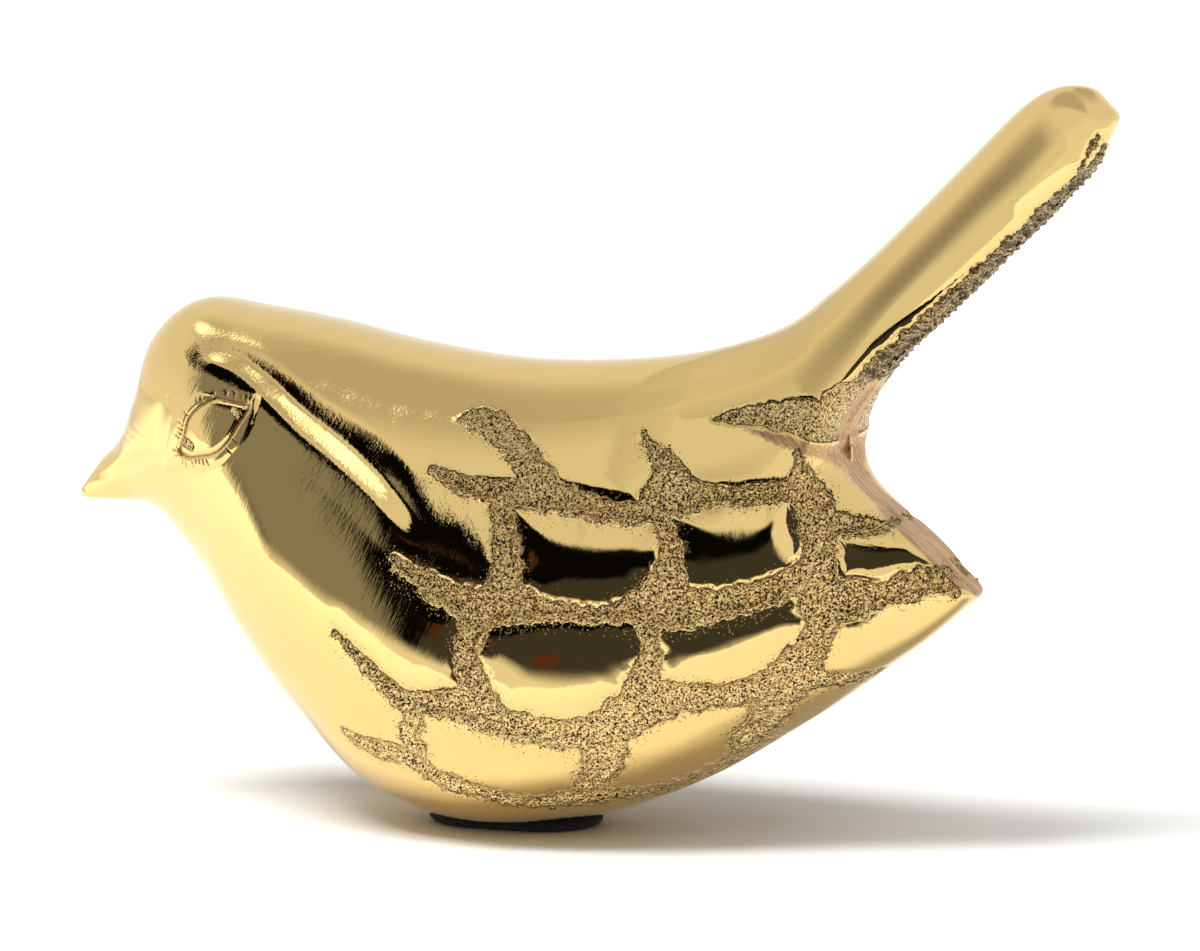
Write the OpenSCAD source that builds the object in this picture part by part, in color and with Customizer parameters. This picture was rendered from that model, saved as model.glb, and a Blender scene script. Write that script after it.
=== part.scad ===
// A hollow cast metal bird that rests on a felt pad under its belly.
// It is cast as two half shells, which meet on the mid-plane, are located by pegs
// and are brazed in a channel around the rim. Head towards -X, tail towards +X.
// The origin is on the table, at the centre of the felt pad.

/* [Overall size] */
// Length from the tip of the beak to the tip of the tail
bird_length = 127.5; // [115:0.5:140]
// Height of the top of the tail above the origin
bird_height = 88; // [82:0.5:96]
// Width across the wings
bird_width = 46; // [42:0.5:52]

/* [Casting] */
// Thickness of the cast wall
wall = 3; // [2.4:0.1:3.6]
// Half width of the strip ground flat at the rear point and under the tail
strip_half_w = 3.5; // [2.6:0.1:4]
// Half width of the narrow flat that grinding leaves along the rest of the parting line
land_half_w = 0.3; // [0.2:0.05:0.5]

/* [Feather relief] */
// Depth of the cast furrows between the feather scales
furrow_depth = 0.8; // [0.5:0.1:1.2]
// Width of the groove around the eyeball
eye_groove_w = 0.7; // [0.5:0.1:1]

/* [Brazed seam] */
// Width of the outer lip, where metal meets metal
lip_w = 1.2; // [1:0.1:1.6]
// Depth of the braze channel in each half
channel_depth = 0.3; // [0.2:0.05:0.5]

/* [Locating pegs] */
// Diameter of a peg
peg_d = 3; // [2.5:0.1:3.5]
// Length of a peg beyond the mid-plane
peg_length = 3; // [2:0.1:3.5]
// Gap around a peg in its socket
peg_gap = 0.1; // [0.05:0.05:0.2]
// Diameter of the boss that carries a peg or a socket
boss_d = 7.5; // [6.5:0.1:8]
// Length of that boss from the mid-plane
boss_length = 6; // [5:0.5:7]

/* [Belly pad] */
// Length of the felt pad, along the bird
pad_length = 21; // [18:0.5:22]
// Width of the felt pad
pad_width = 14; // [12:0.5:15]
// Thickness of the felt pad
pad_thickness = 1.5; // [1:0.1:2]
// Thickness of the adhesive film above it
film_thickness = 0.1; // [0.05:0.05:0.2]
// Diameter of the vent hole that the pad hides
vent_d = 3; // [2:0.1:4]

/* [Hidden] */

// Colours, as the photograph shows them
gold = "#d8b062";
braze_gold = "#c79a4e";
film_clear = "#b9ad8c";
felt_black = "#1d1c1b";

// Each rib runs from the upper outline, over the widest line of the flank, to the
// lower outline. Places are shares of the length and the height, and the last
// value is the share of half the width: [top x, z, flank x, z, low x, z, width].
// These run from the beak tip to where the tail leaves the back.
body_rib_shares = [
    [-0.436, 0.423, -0.432, 0.415, -0.434, 0.407, 0.03],
    [-0.415, 0.461, -0.408, 0.432, -0.406, 0.406, 0.12],
    [-0.39, 0.499, -0.379, 0.457, -0.373, 0.405, 0.22],
    [-0.369, 0.57, -0.351, 0.486, -0.341, 0.386, 0.36],
    [-0.351, 0.642, -0.317, 0.513, -0.315, 0.348, 0.49],
    [-0.31, 0.685, -0.275, 0.507, -0.285, 0.293, 0.61],
    [-0.25, 0.678, -0.224, 0.451, -0.248, 0.216, 0.74],
    [-0.182, 0.664, -0.158, 0.37, -0.194, 0.13, 0.87],
    [-0.095, 0.639, -0.078, 0.27, -0.121, 0.039, 0.965],
    [0.004, 0.622, 0.009, 0.2, -0.016, -0.001, 1],
    [0.102, 0.625, 0.097, 0.201, 0.098, 0.023, 0.935],
    [0.188, 0.642, 0.18, 0.25, 0.191, 0.078, 0.805],
    [0.26, 0.676, 0.252, 0.341, 0.267, 0.143, 0.63]
];
// From the root of the tail to its tip
tail_rib_shares = [
    [0.307, 0.725, 0.318, 0.57, 0.329, 0.565, 0.435],
    [0.349, 0.778, 0.364, 0.684, 0.364, 0.628, 0.355],
    [0.394, 0.841, 0.41, 0.764, 0.413, 0.695, 0.315],
    [0.442, 0.911, 0.46, 0.84, 0.465, 0.768, 0.295],
    [0.485, 0.972, 0.506, 0.902, 0.514, 0.839, 0.275],
    [0.515, 0.997, 0.533, 0.942, 0.547, 0.892, 0.235],
    [0.545, 0.997, 0.549, 0.968, 0.562, 0.93, 0.19],
    [0.561, 0.977, 0.556, 0.959, 0.569, 0.952, 0.13]
];
// From under the tail to the rear point
rear_rib_shares = [
    [0.329, 0.491, 0.304, 0.347, 0.317, 0.19, 0.505],
    [0.351, 0.46, 0.347, 0.345, 0.358, 0.234, 0.4],
    [0.379, 0.427, 0.385, 0.357, 0.395, 0.273, 0.295],
    [0.409, 0.391, 0.415, 0.352, 0.423, 0.307, 0.21],
    [0.434, 0.356, 0.437, 0.344, 0.442, 0.331, 0.16]
];
// The notch between the tail and the rear point
notch_shares = [0.32, 0.52];

// The furrows between the feather scales, as the side view shows them. Each runs
// through [x, z, half width], shares of the length, the height and half the width.
furrow_shares = [
    // Between the back and the first row of scales
    [[-0.012, 0.559, 0.022], [0.005, 0.558, 0.048], [0.022, 0.55, 0.065], [0.039, 0.534, 0.061],
        [0.053, 0.518, 0.061], [0.064, 0.498, 0.083], [0.075, 0.484, 0.091]],
    [[-0.027, 0.494, 0.017], [-0.013, 0.487, 0.03], [0.008, 0.476, 0.039], [0.04, 0.47, 0.057],
        [0.067, 0.47, 0.083], [0.096, 0.465, 0.07], [0.134, 0.452, 0.057], [0.17, 0.451, 0.057],
        [0.191, 0.472, 0.113], [0.222, 0.473, 0.061], [0.256, 0.474, 0.048], [0.289, 0.478, 0.048],
        [0.307, 0.481, 0.065], [0.315, 0.467, 0.07]],
    [[0.162, 0.547, 0.017], [0.172, 0.532, 0.035], [0.185, 0.515, 0.061], [0.191, 0.498, 0.087],
        [0.195, 0.478, 0.113]],
    [[0.303, 0.531, 0.017], [0.304, 0.514, 0.026], [0.306, 0.495, 0.057], [0.313, 0.476, 0.065]],
    // Between the scales of the first row, and below them
    [[0.042, 0.449, 0.057], [0.047, 0.427, 0.061], [0.051, 0.399, 0.07], [0.055, 0.375, 0.083],
        [0.053, 0.344, 0.104]],
    [[-0.053, 0.383, 0.017], [-0.036, 0.369, 0.035], [-0.016, 0.355, 0.057], [0.003, 0.341, 0.065],
        [0.028, 0.328, 0.078], [0.053, 0.332, 0.104]],
    [[0.056, 0.333, 0.104], [0.078, 0.33, 0.07], [0.107, 0.325, 0.039], [0.133, 0.32, 0.03],
        [0.158, 0.325, 0.048], [0.176, 0.336, 0.07], [0.193, 0.351, 0.113]],
    [[0.187, 0.447, 0.039], [0.195, 0.425, 0.057], [0.198, 0.401, 0.061], [0.198, 0.375, 0.083],
        [0.198, 0.345, 0.122]],
    [[0.195, 0.333, 0.113], [0.219, 0.331, 0.096], [0.244, 0.337, 0.078], [0.271, 0.344, 0.065],
        [0.296, 0.36, 0.065], [0.318, 0.372, 0.104]],
    [[0.318, 0.459, 0.07], [0.321, 0.435, 0.083], [0.322, 0.41, 0.07], [0.322, 0.385, 0.091],
        [0.324, 0.352, 0.104]],
    [[0.32, 0.44, 0.07], [0.342, 0.434, 0.052], [0.361, 0.433, 0.035], [0.373, 0.432, 0.017]],
    [[0.326, 0.332, 0.104], [0.348, 0.339, 0.104], [0.373, 0.345, 0.065], [0.395, 0.356, 0.07],
        [0.412, 0.364, 0.065], [0.425, 0.356, 0.035], [0.434, 0.348, 0.009]],
    // Between the scales of the second row, and below them
    [[0.031, 0.316, 0.091], [0.024, 0.286, 0.07], [0.024, 0.253, 0.07], [0.032, 0.217, 0.096]],
    [[-0.108, 0.281, 0.017], [-0.092, 0.261, 0.026], [-0.073, 0.237, 0.035], [-0.054, 0.215, 0.048],
        [-0.035, 0.201, 0.052], [-0.01, 0.195, 0.065], [0.015, 0.199, 0.087], [0.038, 0.198, 0.096]],
    [[0.027, 0.198, 0.104], [0.055, 0.177, 0.078], [0.089, 0.165, 0.065], [0.119, 0.163, 0.07],
        [0.147, 0.173, 0.091], [0.169, 0.193, 0.104]],
    [[0.184, 0.324, 0.083], [0.186, 0.293, 0.048], [0.186, 0.264, 0.057], [0.181, 0.231, 0.083],
        [0.171, 0.198, 0.096]],
    [[0.175, 0.201, 0.104], [0.195, 0.209, 0.096], [0.218, 0.212, 0.07], [0.24, 0.212, 0.057],
        [0.263, 0.218, 0.061], [0.285, 0.234, 0.07], [0.305, 0.258, 0.083], [0.318, 0.286, 0.061],
        [0.328, 0.319, 0.07]],
    // Between the scales of the last row, and along the keel
    [[-0.035, 0.195, 0.057], [-0.03, 0.169, 0.061], [-0.038, 0.143, 0.052], [-0.029, 0.133, 0.048]],
    [[0.144, 0.158, 0.091], [0.137, 0.127, 0.078], [0.129, 0.103, 0.065], [0.117, 0.082, 0.052]],
    [[0.307, 0.248, 0.087], [0.293, 0.226, 0.078], [0.278, 0.2, 0.065], [0.263, 0.173, 0.057],
        [0.249, 0.15, 0.048], [0.235, 0.127, 0.026]],
    [[0.302, 0.233, 0.07], [0.322, 0.231, 0.039], [0.344, 0.23, 0.022], [0.36, 0.237, 0.009]],
    [[-0.111, 0.14, 0.017], [-0.089, 0.127, 0.03], [-0.061, 0.12, 0.048], [-0.038, 0.111, 0.052],
        [-0.014, 0.09, 0.048], [0.013, 0.076, 0.039], [0.037, 0.065, 0.035], [0.062, 0.057, 0.026],
        [0.094, 0.062, 0.039], [0.123, 0.068, 0.039], [0.149, 0.068, 0.03], [0.176, 0.074, 0.022],
        [0.213, 0.101, 0.017], [0.235, 0.123, 0.022]]
];
// The almond opening of the eye
eye_shares = [
    [-0.289, 0.498], [-0.283, 0.518], [-0.276, 0.543], [-0.26, 0.561], [-0.245, 0.568],
    [-0.215, 0.568], [-0.209, 0.562], [-0.216, 0.542], [-0.228, 0.517], [-0.244, 0.5],
    [-0.263, 0.493], [-0.28, 0.49]
];

// Ribs are counted from the beak tip. The cavity starts behind the beak and stops
// short of the two tips, where the casting is solid.
steps_per_rib = 3;
rings = 10;
cavity_steps = 2;
cavity_rings = 6;
first_hollow_rib = 4;
last_hollow_tail_rib = 5;
last_hollow_rear_rib = 2;

// Ribs whose outline carries a peg boss: [rib, on the lower outline]
boss_ribs = [[6, false], [11, false], [7, true], [10, true]];

overrun = 1;
socket_d = peg_d + 2 * peg_gap;
socket_depth = peg_length + peg_gap;
seat_z = pad_thickness + film_thickness;
round_fn = 64;

// A rib in real sizes, from its shares
function sized(rib) = [
    rib[0] * bird_length, rib[1] * bird_height,
    rib[2] * bird_length, rib[3] * bird_height,
    rib[4] * bird_length, rib[5] * bird_height,
    rib[6] * bird_width / 2
];

body_ribs = [for (rib = body_rib_shares) sized(rib)];
tail_ribs = [for (rib = tail_rib_shares) sized(rib)];
rear_ribs = [for (rib = rear_rib_shares) sized(rib)];
notch = [notch_shares[0] * bird_length, notch_shares[1] * bird_height];

fork = body_ribs[len(body_ribs) - 1];
before_fork = body_ribs[len(body_ribs) - 2];

// The fork's rib as the tail and the rear see it: each ends in the notch
tail_start = [fork[0], fork[1], fork[2], fork[3], notch[0], notch[1], fork[6]];
rear_start = [notch[0], notch[1], fork[2], fork[3], fork[4], fork[5], fork[6]];

// Ribs that only give a curve its direction at an end
body_lead = 2 * body_ribs[0] - body_ribs[1];
body_follow = [
    tail_ribs[0][0], tail_ribs[0][1],
    (tail_ribs[0][2] + rear_ribs[0][2]) / 2, (tail_ribs[0][3] + rear_ribs[0][3]) / 2,
    rear_ribs[0][4], rear_ribs[0][5],
    (tail_ribs[0][6] + rear_ribs[0][6]) / 2
];
tail_lead = [
    before_fork[0], before_fork[1], before_fork[2], before_fork[3],
    2 * notch[0] - tail_ribs[0][4], 2 * notch[1] - tail_ribs[0][5],
    before_fork[6]
];
rear_lead = [
    2 * notch[0] - rear_ribs[0][0], 2 * notch[1] - rear_ribs[0][1],
    before_fork[2], before_fork[3], before_fork[4], before_fork[5],
    before_fork[6]
];
tail_follow = 2 * tail_ribs[len(tail_ribs) - 1] - tail_ribs[len(tail_ribs) - 2];
rear_follow = 2 * rear_ribs[len(rear_ribs) - 1] - rear_ribs[len(rear_ribs) - 2];

body_chain = concat([body_lead], body_ribs, [body_follow]);
tail_chain = concat([tail_lead, tail_start], tail_ribs, [tail_follow]);
rear_chain = concat([rear_lead, rear_start], rear_ribs, [rear_follow]);

// A smooth curve from b to c, headed by its neighbours a and d
function between(a, b, c, d, t) =
    b + (c - a) * t / 2 + (2 * a - 5 * b + 4 * c - d) * t * t / 2
    + (3 * b - a - 3 * c + d) * t * t * t / 2;

// Ribs first to last of a chain, with steps from one rib to the next
function smooth(chain, steps, first, last) = concat(
    [
        for (k = [first + 1 : last], i = [0 : steps - 1])
            between(chain[k - 1], chain[k], chain[k + 1], chain[k + 2], i / steps)
    ],
    [chain[last + 1]]
);

// A station is one side of a rib: outline point, flank point, half width, flat
function top_side(rib, flat_w) = [[rib[0], rib[1]], [rib[2], rib[3]], rib[6], flat_w];
function low_side(rib, flat_w) = [[rib[4], rib[5]], [rib[2], rib[3]], rib[6], flat_w];
function backward(list) = [for (i = [len(list) - 1 : -1 : 0]) list[i]];
function all_but_last(list) = [for (i = [0 : len(list) - 2]) list[i]];
function all_but_first(list) = [for (i = [1 : len(list) - 1]) list[i]];

// The stations in one closed loop: over the back, round the tail, down to the
// rear point and home along the belly
function loop(body, tail, rear) = concat(
    [for (rib = all_but_last(body)) top_side(rib, land_half_w)],
    [for (rib = tail) top_side(rib, land_half_w)],
    [for (rib = backward(tail)) low_side(rib, strip_half_w)],
    [for (rib = all_but_first(rear)) top_side(rib, strip_half_w)],
    [for (rib = backward(rear)) low_side(rib, land_half_w)],
    [for (rib = backward(all_but_last(body))) low_side(rib, land_half_w)]
);

outer_loop = loop(
    smooth(body_chain, steps_per_rib, 0, len(body_ribs) - 1),
    smooth(tail_chain, steps_per_rib, 0, len(tail_ribs)),
    smooth(rear_chain, steps_per_rib, 0, len(rear_ribs))
);
hollow_loop = loop(
    smooth(body_chain, cavity_steps, first_hollow_rib, len(body_ribs) - 1),
    smooth(tail_chain, cavity_steps, 0, last_hollow_tail_rib),
    smooth(rear_chain, cavity_steps, 0, last_hollow_rear_rib)
);

// The point that lies a distance in from a station's outline, towards its flank
function inset(station, distance) =
    station[0] + unit(station[1] - station[0]) * distance;
function unit(v) = v / norm(v);

// The cavity's outline on the mid-plane, one wall in from the skin
rim_edge = [
    for (s = hollow_loop)
        let (place = inset(s, wall))
        [place[0], max(place[1], seat_z + wall)]
];

// A station of the cavity, one wall inside the same station of the skin
function inner(station) =
    [inset(station, wall), station[1], station[2] - wall, land_half_w];

// A quarter of an ellipse from the outline out to the flank, ring by ring
function ring_point(station, turn, lowest) =
    let (place = station[0] + (station[1] - station[0]) * (1 - cos(turn)))
    let (flat_w = min(station[3], station[2] * flat_limit_share))
    [
        place[0],
        flat_w + (station[2] - flat_w) * sin(turn),
        max(place[1], lowest)
    ];
flat_limit_share = 0.9;

// A closed solid from a loop of stations. Its first row is the flank line and its
// second the outline, both at y = start, and they span its flat face. The rings of
// the skin follow, from the outline out to the flank.
module half_form(stations, ring_count, start, lowest) {
    count = len(stations);
    flat_face = [
        for (end = [1, 0], s = stations)
            [s[end][0], start, max(s[end][1], lowest)]
    ];
    skin = [
        for (j = [0 : ring_count], s = stations)
            ring_point(s, quarter_turn * j / ring_count, lowest)
    ];
    walls = [
        for (j = [0 : ring_count + 1], i = [0 : count - 1])
            let (k = (i + 1) % count)
            [j * count + i, j * count + k, (j + 1) * count + k, (j + 1) * count + i]
    ];
    triangles = [
        for (q = walls)
            each [[q[0], q[2], q[1]], [q[0], q[3], q[2]]]
    ];
    polyhedron(concat(flat_face, skin), triangles, convexity = 6);
}
quarter_turn = 90;

module skin_half() {
    half_form(outer_loop, rings, 0, seat_z);
}

module cavity_half() {
    half_form([for (s = hollow_loop) inner(s)], cavity_rings, -overrun, seat_z + wall);
}

// A station of the furrows' floor, one furrow's depth inside the same station of the
// skin, or less where the bird is thin
function carved(station) =
    let (depth = min(furrow_depth, station[2] * carve_limit_share))
    [inset(station, depth), station[1], station[2] - depth, station[3]];
carve_limit_share = 0.4;

// One edge of a furrow at its point i: side is 1 or -1
function furrow_edge(line, i, side) =
    let (before = line[max(i - 1, 0)], after = line[min(i + 1, len(line) - 1)])
    let (along = unit([after[0] - before[0], after[1] - before[1]]))
    [
        line[i][0] - along[1] * line[i][2] * side,
        line[i][1] + along[0] * line[i][2] * side
    ];

module furrow(line) {
    count = len(line);
    polygon(concat(
        [for (i = [0 : count - 1]) furrow_edge(line, i, 1)],
        [for (i = [count - 1 : -1 : 0]) furrow_edge(line, i, -1)]
    ));
}

module eye_ring() {
    eye = [for (spot = eye_shares) [spot[0] * bird_length, spot[1] * bird_height]];
    difference() {
        polygon(eye);
        offset(delta = -eye_groove_w)
            polygon(eye);
    }
}

// What the casting lacks between its scales and around the eyeball: the furrows'
// outlines, from beside the ground strip outwards, less the form of their floor
module feather_relief() {
    start = strip_half_w + overrun;
    difference() {
        on_mid_plane(start, bird_width / 2) {
            for (shares = furrow_shares)
                furrow([
                    for (spot = shares)
                        [spot[0] * bird_length, spot[1] * bird_height, spot[2] * bird_width / 2]
                ]);
            eye_ring();
        }
        half_form([for (s = outer_loop) carved(s)], rings, -overrun, seat_z + furrow_depth);
    }
}

// The inner edge of the lip, where the channel begins
module channel_outline() {
    offset(delta = wall - lip_w)
        polygon(rim_edge);
}

// The band of the rim between the lip and the cavity, open at the vent hole
module braze_outline() {
    difference() {
        channel_outline();
        polygon(rim_edge);
        translate([-vent_d / 2, 0])
            square([vent_d, seat_z + wall + overrun]);
    }
}

// Lays an outline drawn in x and z on the mid-plane, with its thickness along y
module on_mid_plane(from_y, thickness) {
    translate([0, from_y + thickness, 0])
        rotate([quarter_turn, 0, 0])
            linear_extrude(thickness)
                children();
}

// The middle of each peg, square in from the outline at its rib, so that the side of
// the boss bites into the wall
function outline_point(k, low) =
    low ? [body_ribs[k][4], body_ribs[k][5]] : [body_ribs[k][0], body_ribs[k][1]];
function boss_place(spot) =
    let (along = unit(outline_point(spot[0] + 1, spot[1]) - outline_point(spot[0] - 1, spot[1])))
    let (inward = spot[1] ? [-along[1], along[0]] : [along[1], -along[0]])
    outline_point(spot[0], spot[1]) + inward * (wall + boss_d / 2 - boss_bite);
boss_bite = 0.8;

module at_each_boss() {
    for (spot = boss_ribs) {
        place = boss_place(spot);
        translate([place[0], 0, place[1]])
            rotate([-quarter_turn, 0, 0])
                children();
    }
}

// One half of the casting on the +Y side, with its lip, channel and bosses
module half_shell() {
    difference() {
        union() {
            difference() {
                skin_half();
                feather_relief();
                cavity_half();
                on_mid_plane(-2 * overrun, 2 * overrun + channel_depth)
                    channel_outline();
            }
            at_each_boss()
                cylinder(h = boss_length, d = boss_d, $fn = round_fn);
        }
        cylinder(h = seat_z + wall + overrun, d = vent_d, $fn = round_fn);
    }
}

module cast_half_left() {
    color(gold)
        mirror([0, 1, 0])
            difference() {
                half_shell();
                at_each_boss()
                    translate([0, 0, -overrun])
                        cylinder(h = socket_depth + overrun, d = socket_d, $fn = round_fn);
            }
}

module cast_half_right() {
    color(gold)
        union() {
            half_shell();
            at_each_boss()
                translate([0, 0, -peg_length])
                    cylinder(h = peg_length + overrun, d = peg_d, $fn = round_fn);
        }
}

module seam_braze() {
    color(braze_gold)
        difference() {
            on_mid_plane(-channel_depth, 2 * channel_depth)
                braze_outline();
            at_each_boss()
                translate([0, 0, -overrun])
                    cylinder(h = 2 * overrun, d = boss_d, $fn = round_fn);
        }
}

// The outline of the pad: a strip with round ends
module pad_outline() {
    straight = pad_length - pad_width;
    square([straight, pad_width], center = true);
    for (side = [-1, 1])
        translate([side * straight / 2, 0])
            circle(d = pad_width, $fn = round_fn);
}

module pad_adhesive() {
    color(film_clear)
        translate([0, 0, pad_thickness])
            linear_extrude(film_thickness)
                pad_outline();
}

module felt_pad() {
    color(felt_black)
        linear_extrude(pad_thickness)
            pad_outline();
}

cast_half_left();
cast_half_right();
seam_braze();
pad_adhesive();
felt_pad();
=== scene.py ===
"""Looks of a cast metal bird figurine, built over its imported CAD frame.

The skin of each cast half is laid again over the same ribs as the solid, with its
feather scales, eyes, beak lines, file marks and cast grain as real relief.
"""

import math

import bpy
import numpy as np
from bpy.props import FloatProperty, FloatVectorProperty, PointerProperty
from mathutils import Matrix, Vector
from mathutils.bvhtree import BVHTree


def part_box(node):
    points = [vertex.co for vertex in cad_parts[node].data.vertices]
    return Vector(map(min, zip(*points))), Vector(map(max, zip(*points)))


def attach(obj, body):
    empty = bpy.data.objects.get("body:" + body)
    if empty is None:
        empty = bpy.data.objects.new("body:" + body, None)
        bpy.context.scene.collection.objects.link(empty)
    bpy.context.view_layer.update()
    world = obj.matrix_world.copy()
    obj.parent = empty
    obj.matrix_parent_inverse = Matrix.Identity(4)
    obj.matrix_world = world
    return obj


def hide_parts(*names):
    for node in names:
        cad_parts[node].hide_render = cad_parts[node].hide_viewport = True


bl_info = {
    "name": "Cast bird figurine",
    "version": (1, 0, 0),
    "blender": (4, 5, 0),
    "location": "View3D > Sidebar > Bird",
    "description": "Builds the visual pieces, materials and stage of a cast bird figurine",
    "category": "Object",
}

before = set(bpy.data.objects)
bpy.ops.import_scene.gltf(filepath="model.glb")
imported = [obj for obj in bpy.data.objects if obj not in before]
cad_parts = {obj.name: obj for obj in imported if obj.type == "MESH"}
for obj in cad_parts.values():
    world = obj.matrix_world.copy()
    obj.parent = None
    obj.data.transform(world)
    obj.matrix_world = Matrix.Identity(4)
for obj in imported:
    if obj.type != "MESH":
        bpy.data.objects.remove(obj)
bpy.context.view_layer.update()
MM = 0.001

# ---------------------------------------------------------------- form of the bird
# Each rib runs from the upper outline, over the widest line of the flank, to the
# lower outline: [top x, z, flank x, z, low x, z, width], as shares of the length,
# the height and half the width. These are the ribs of the solid.
BODY_RIB_SHARES = [
    [-0.436, 0.423, -0.432, 0.415, -0.434, 0.407, 0.03],
    [-0.415, 0.461, -0.408, 0.432, -0.406, 0.406, 0.12],
    [-0.39, 0.499, -0.379, 0.457, -0.373, 0.405, 0.22],
    [-0.369, 0.57, -0.351, 0.486, -0.341, 0.386, 0.36],
    [-0.351, 0.642, -0.317, 0.513, -0.315, 0.348, 0.49],
    [-0.31, 0.685, -0.275, 0.507, -0.285, 0.293, 0.61],
    [-0.25, 0.678, -0.224, 0.451, -0.248, 0.216, 0.74],
    [-0.182, 0.664, -0.158, 0.37, -0.194, 0.13, 0.87],
    [-0.095, 0.639, -0.078, 0.27, -0.121, 0.039, 0.965],
    [0.004, 0.622, 0.009, 0.2, -0.016, -0.001, 1],
    [0.102, 0.625, 0.097, 0.201, 0.098, 0.023, 0.935],
    [0.188, 0.642, 0.18, 0.25, 0.191, 0.078, 0.805],
    [0.26, 0.676, 0.252, 0.341, 0.267, 0.143, 0.63],
]
TAIL_RIB_SHARES = [
    [0.307, 0.725, 0.318, 0.57, 0.329, 0.565, 0.435],
    [0.349, 0.778, 0.364, 0.684, 0.364, 0.628, 0.355],
    [0.394, 0.841, 0.41, 0.764, 0.413, 0.695, 0.315],
    [0.442, 0.911, 0.46, 0.84, 0.465, 0.768, 0.295],
    [0.485, 0.972, 0.506, 0.902, 0.514, 0.839, 0.275],
    [0.515, 0.997, 0.533, 0.942, 0.547, 0.892, 0.235],
    [0.545, 0.997, 0.549, 0.968, 0.562, 0.93, 0.19],
    [0.561, 0.977, 0.556, 0.959, 0.569, 0.952, 0.13],
]
REAR_RIB_SHARES = [
    [0.329, 0.491, 0.304, 0.347, 0.317, 0.19, 0.505],
    [0.351, 0.46, 0.347, 0.345, 0.358, 0.234, 0.4],
    [0.379, 0.427, 0.385, 0.357, 0.395, 0.273, 0.295],
    [0.409, 0.391, 0.415, 0.352, 0.423, 0.307, 0.21],
    [0.434, 0.356, 0.437, 0.344, 0.442, 0.331, 0.16],
]
NOTCH_SHARES = [0.32, 0.52]
FORK_LEAD_SHARES = [0.242, 0.225]

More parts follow.
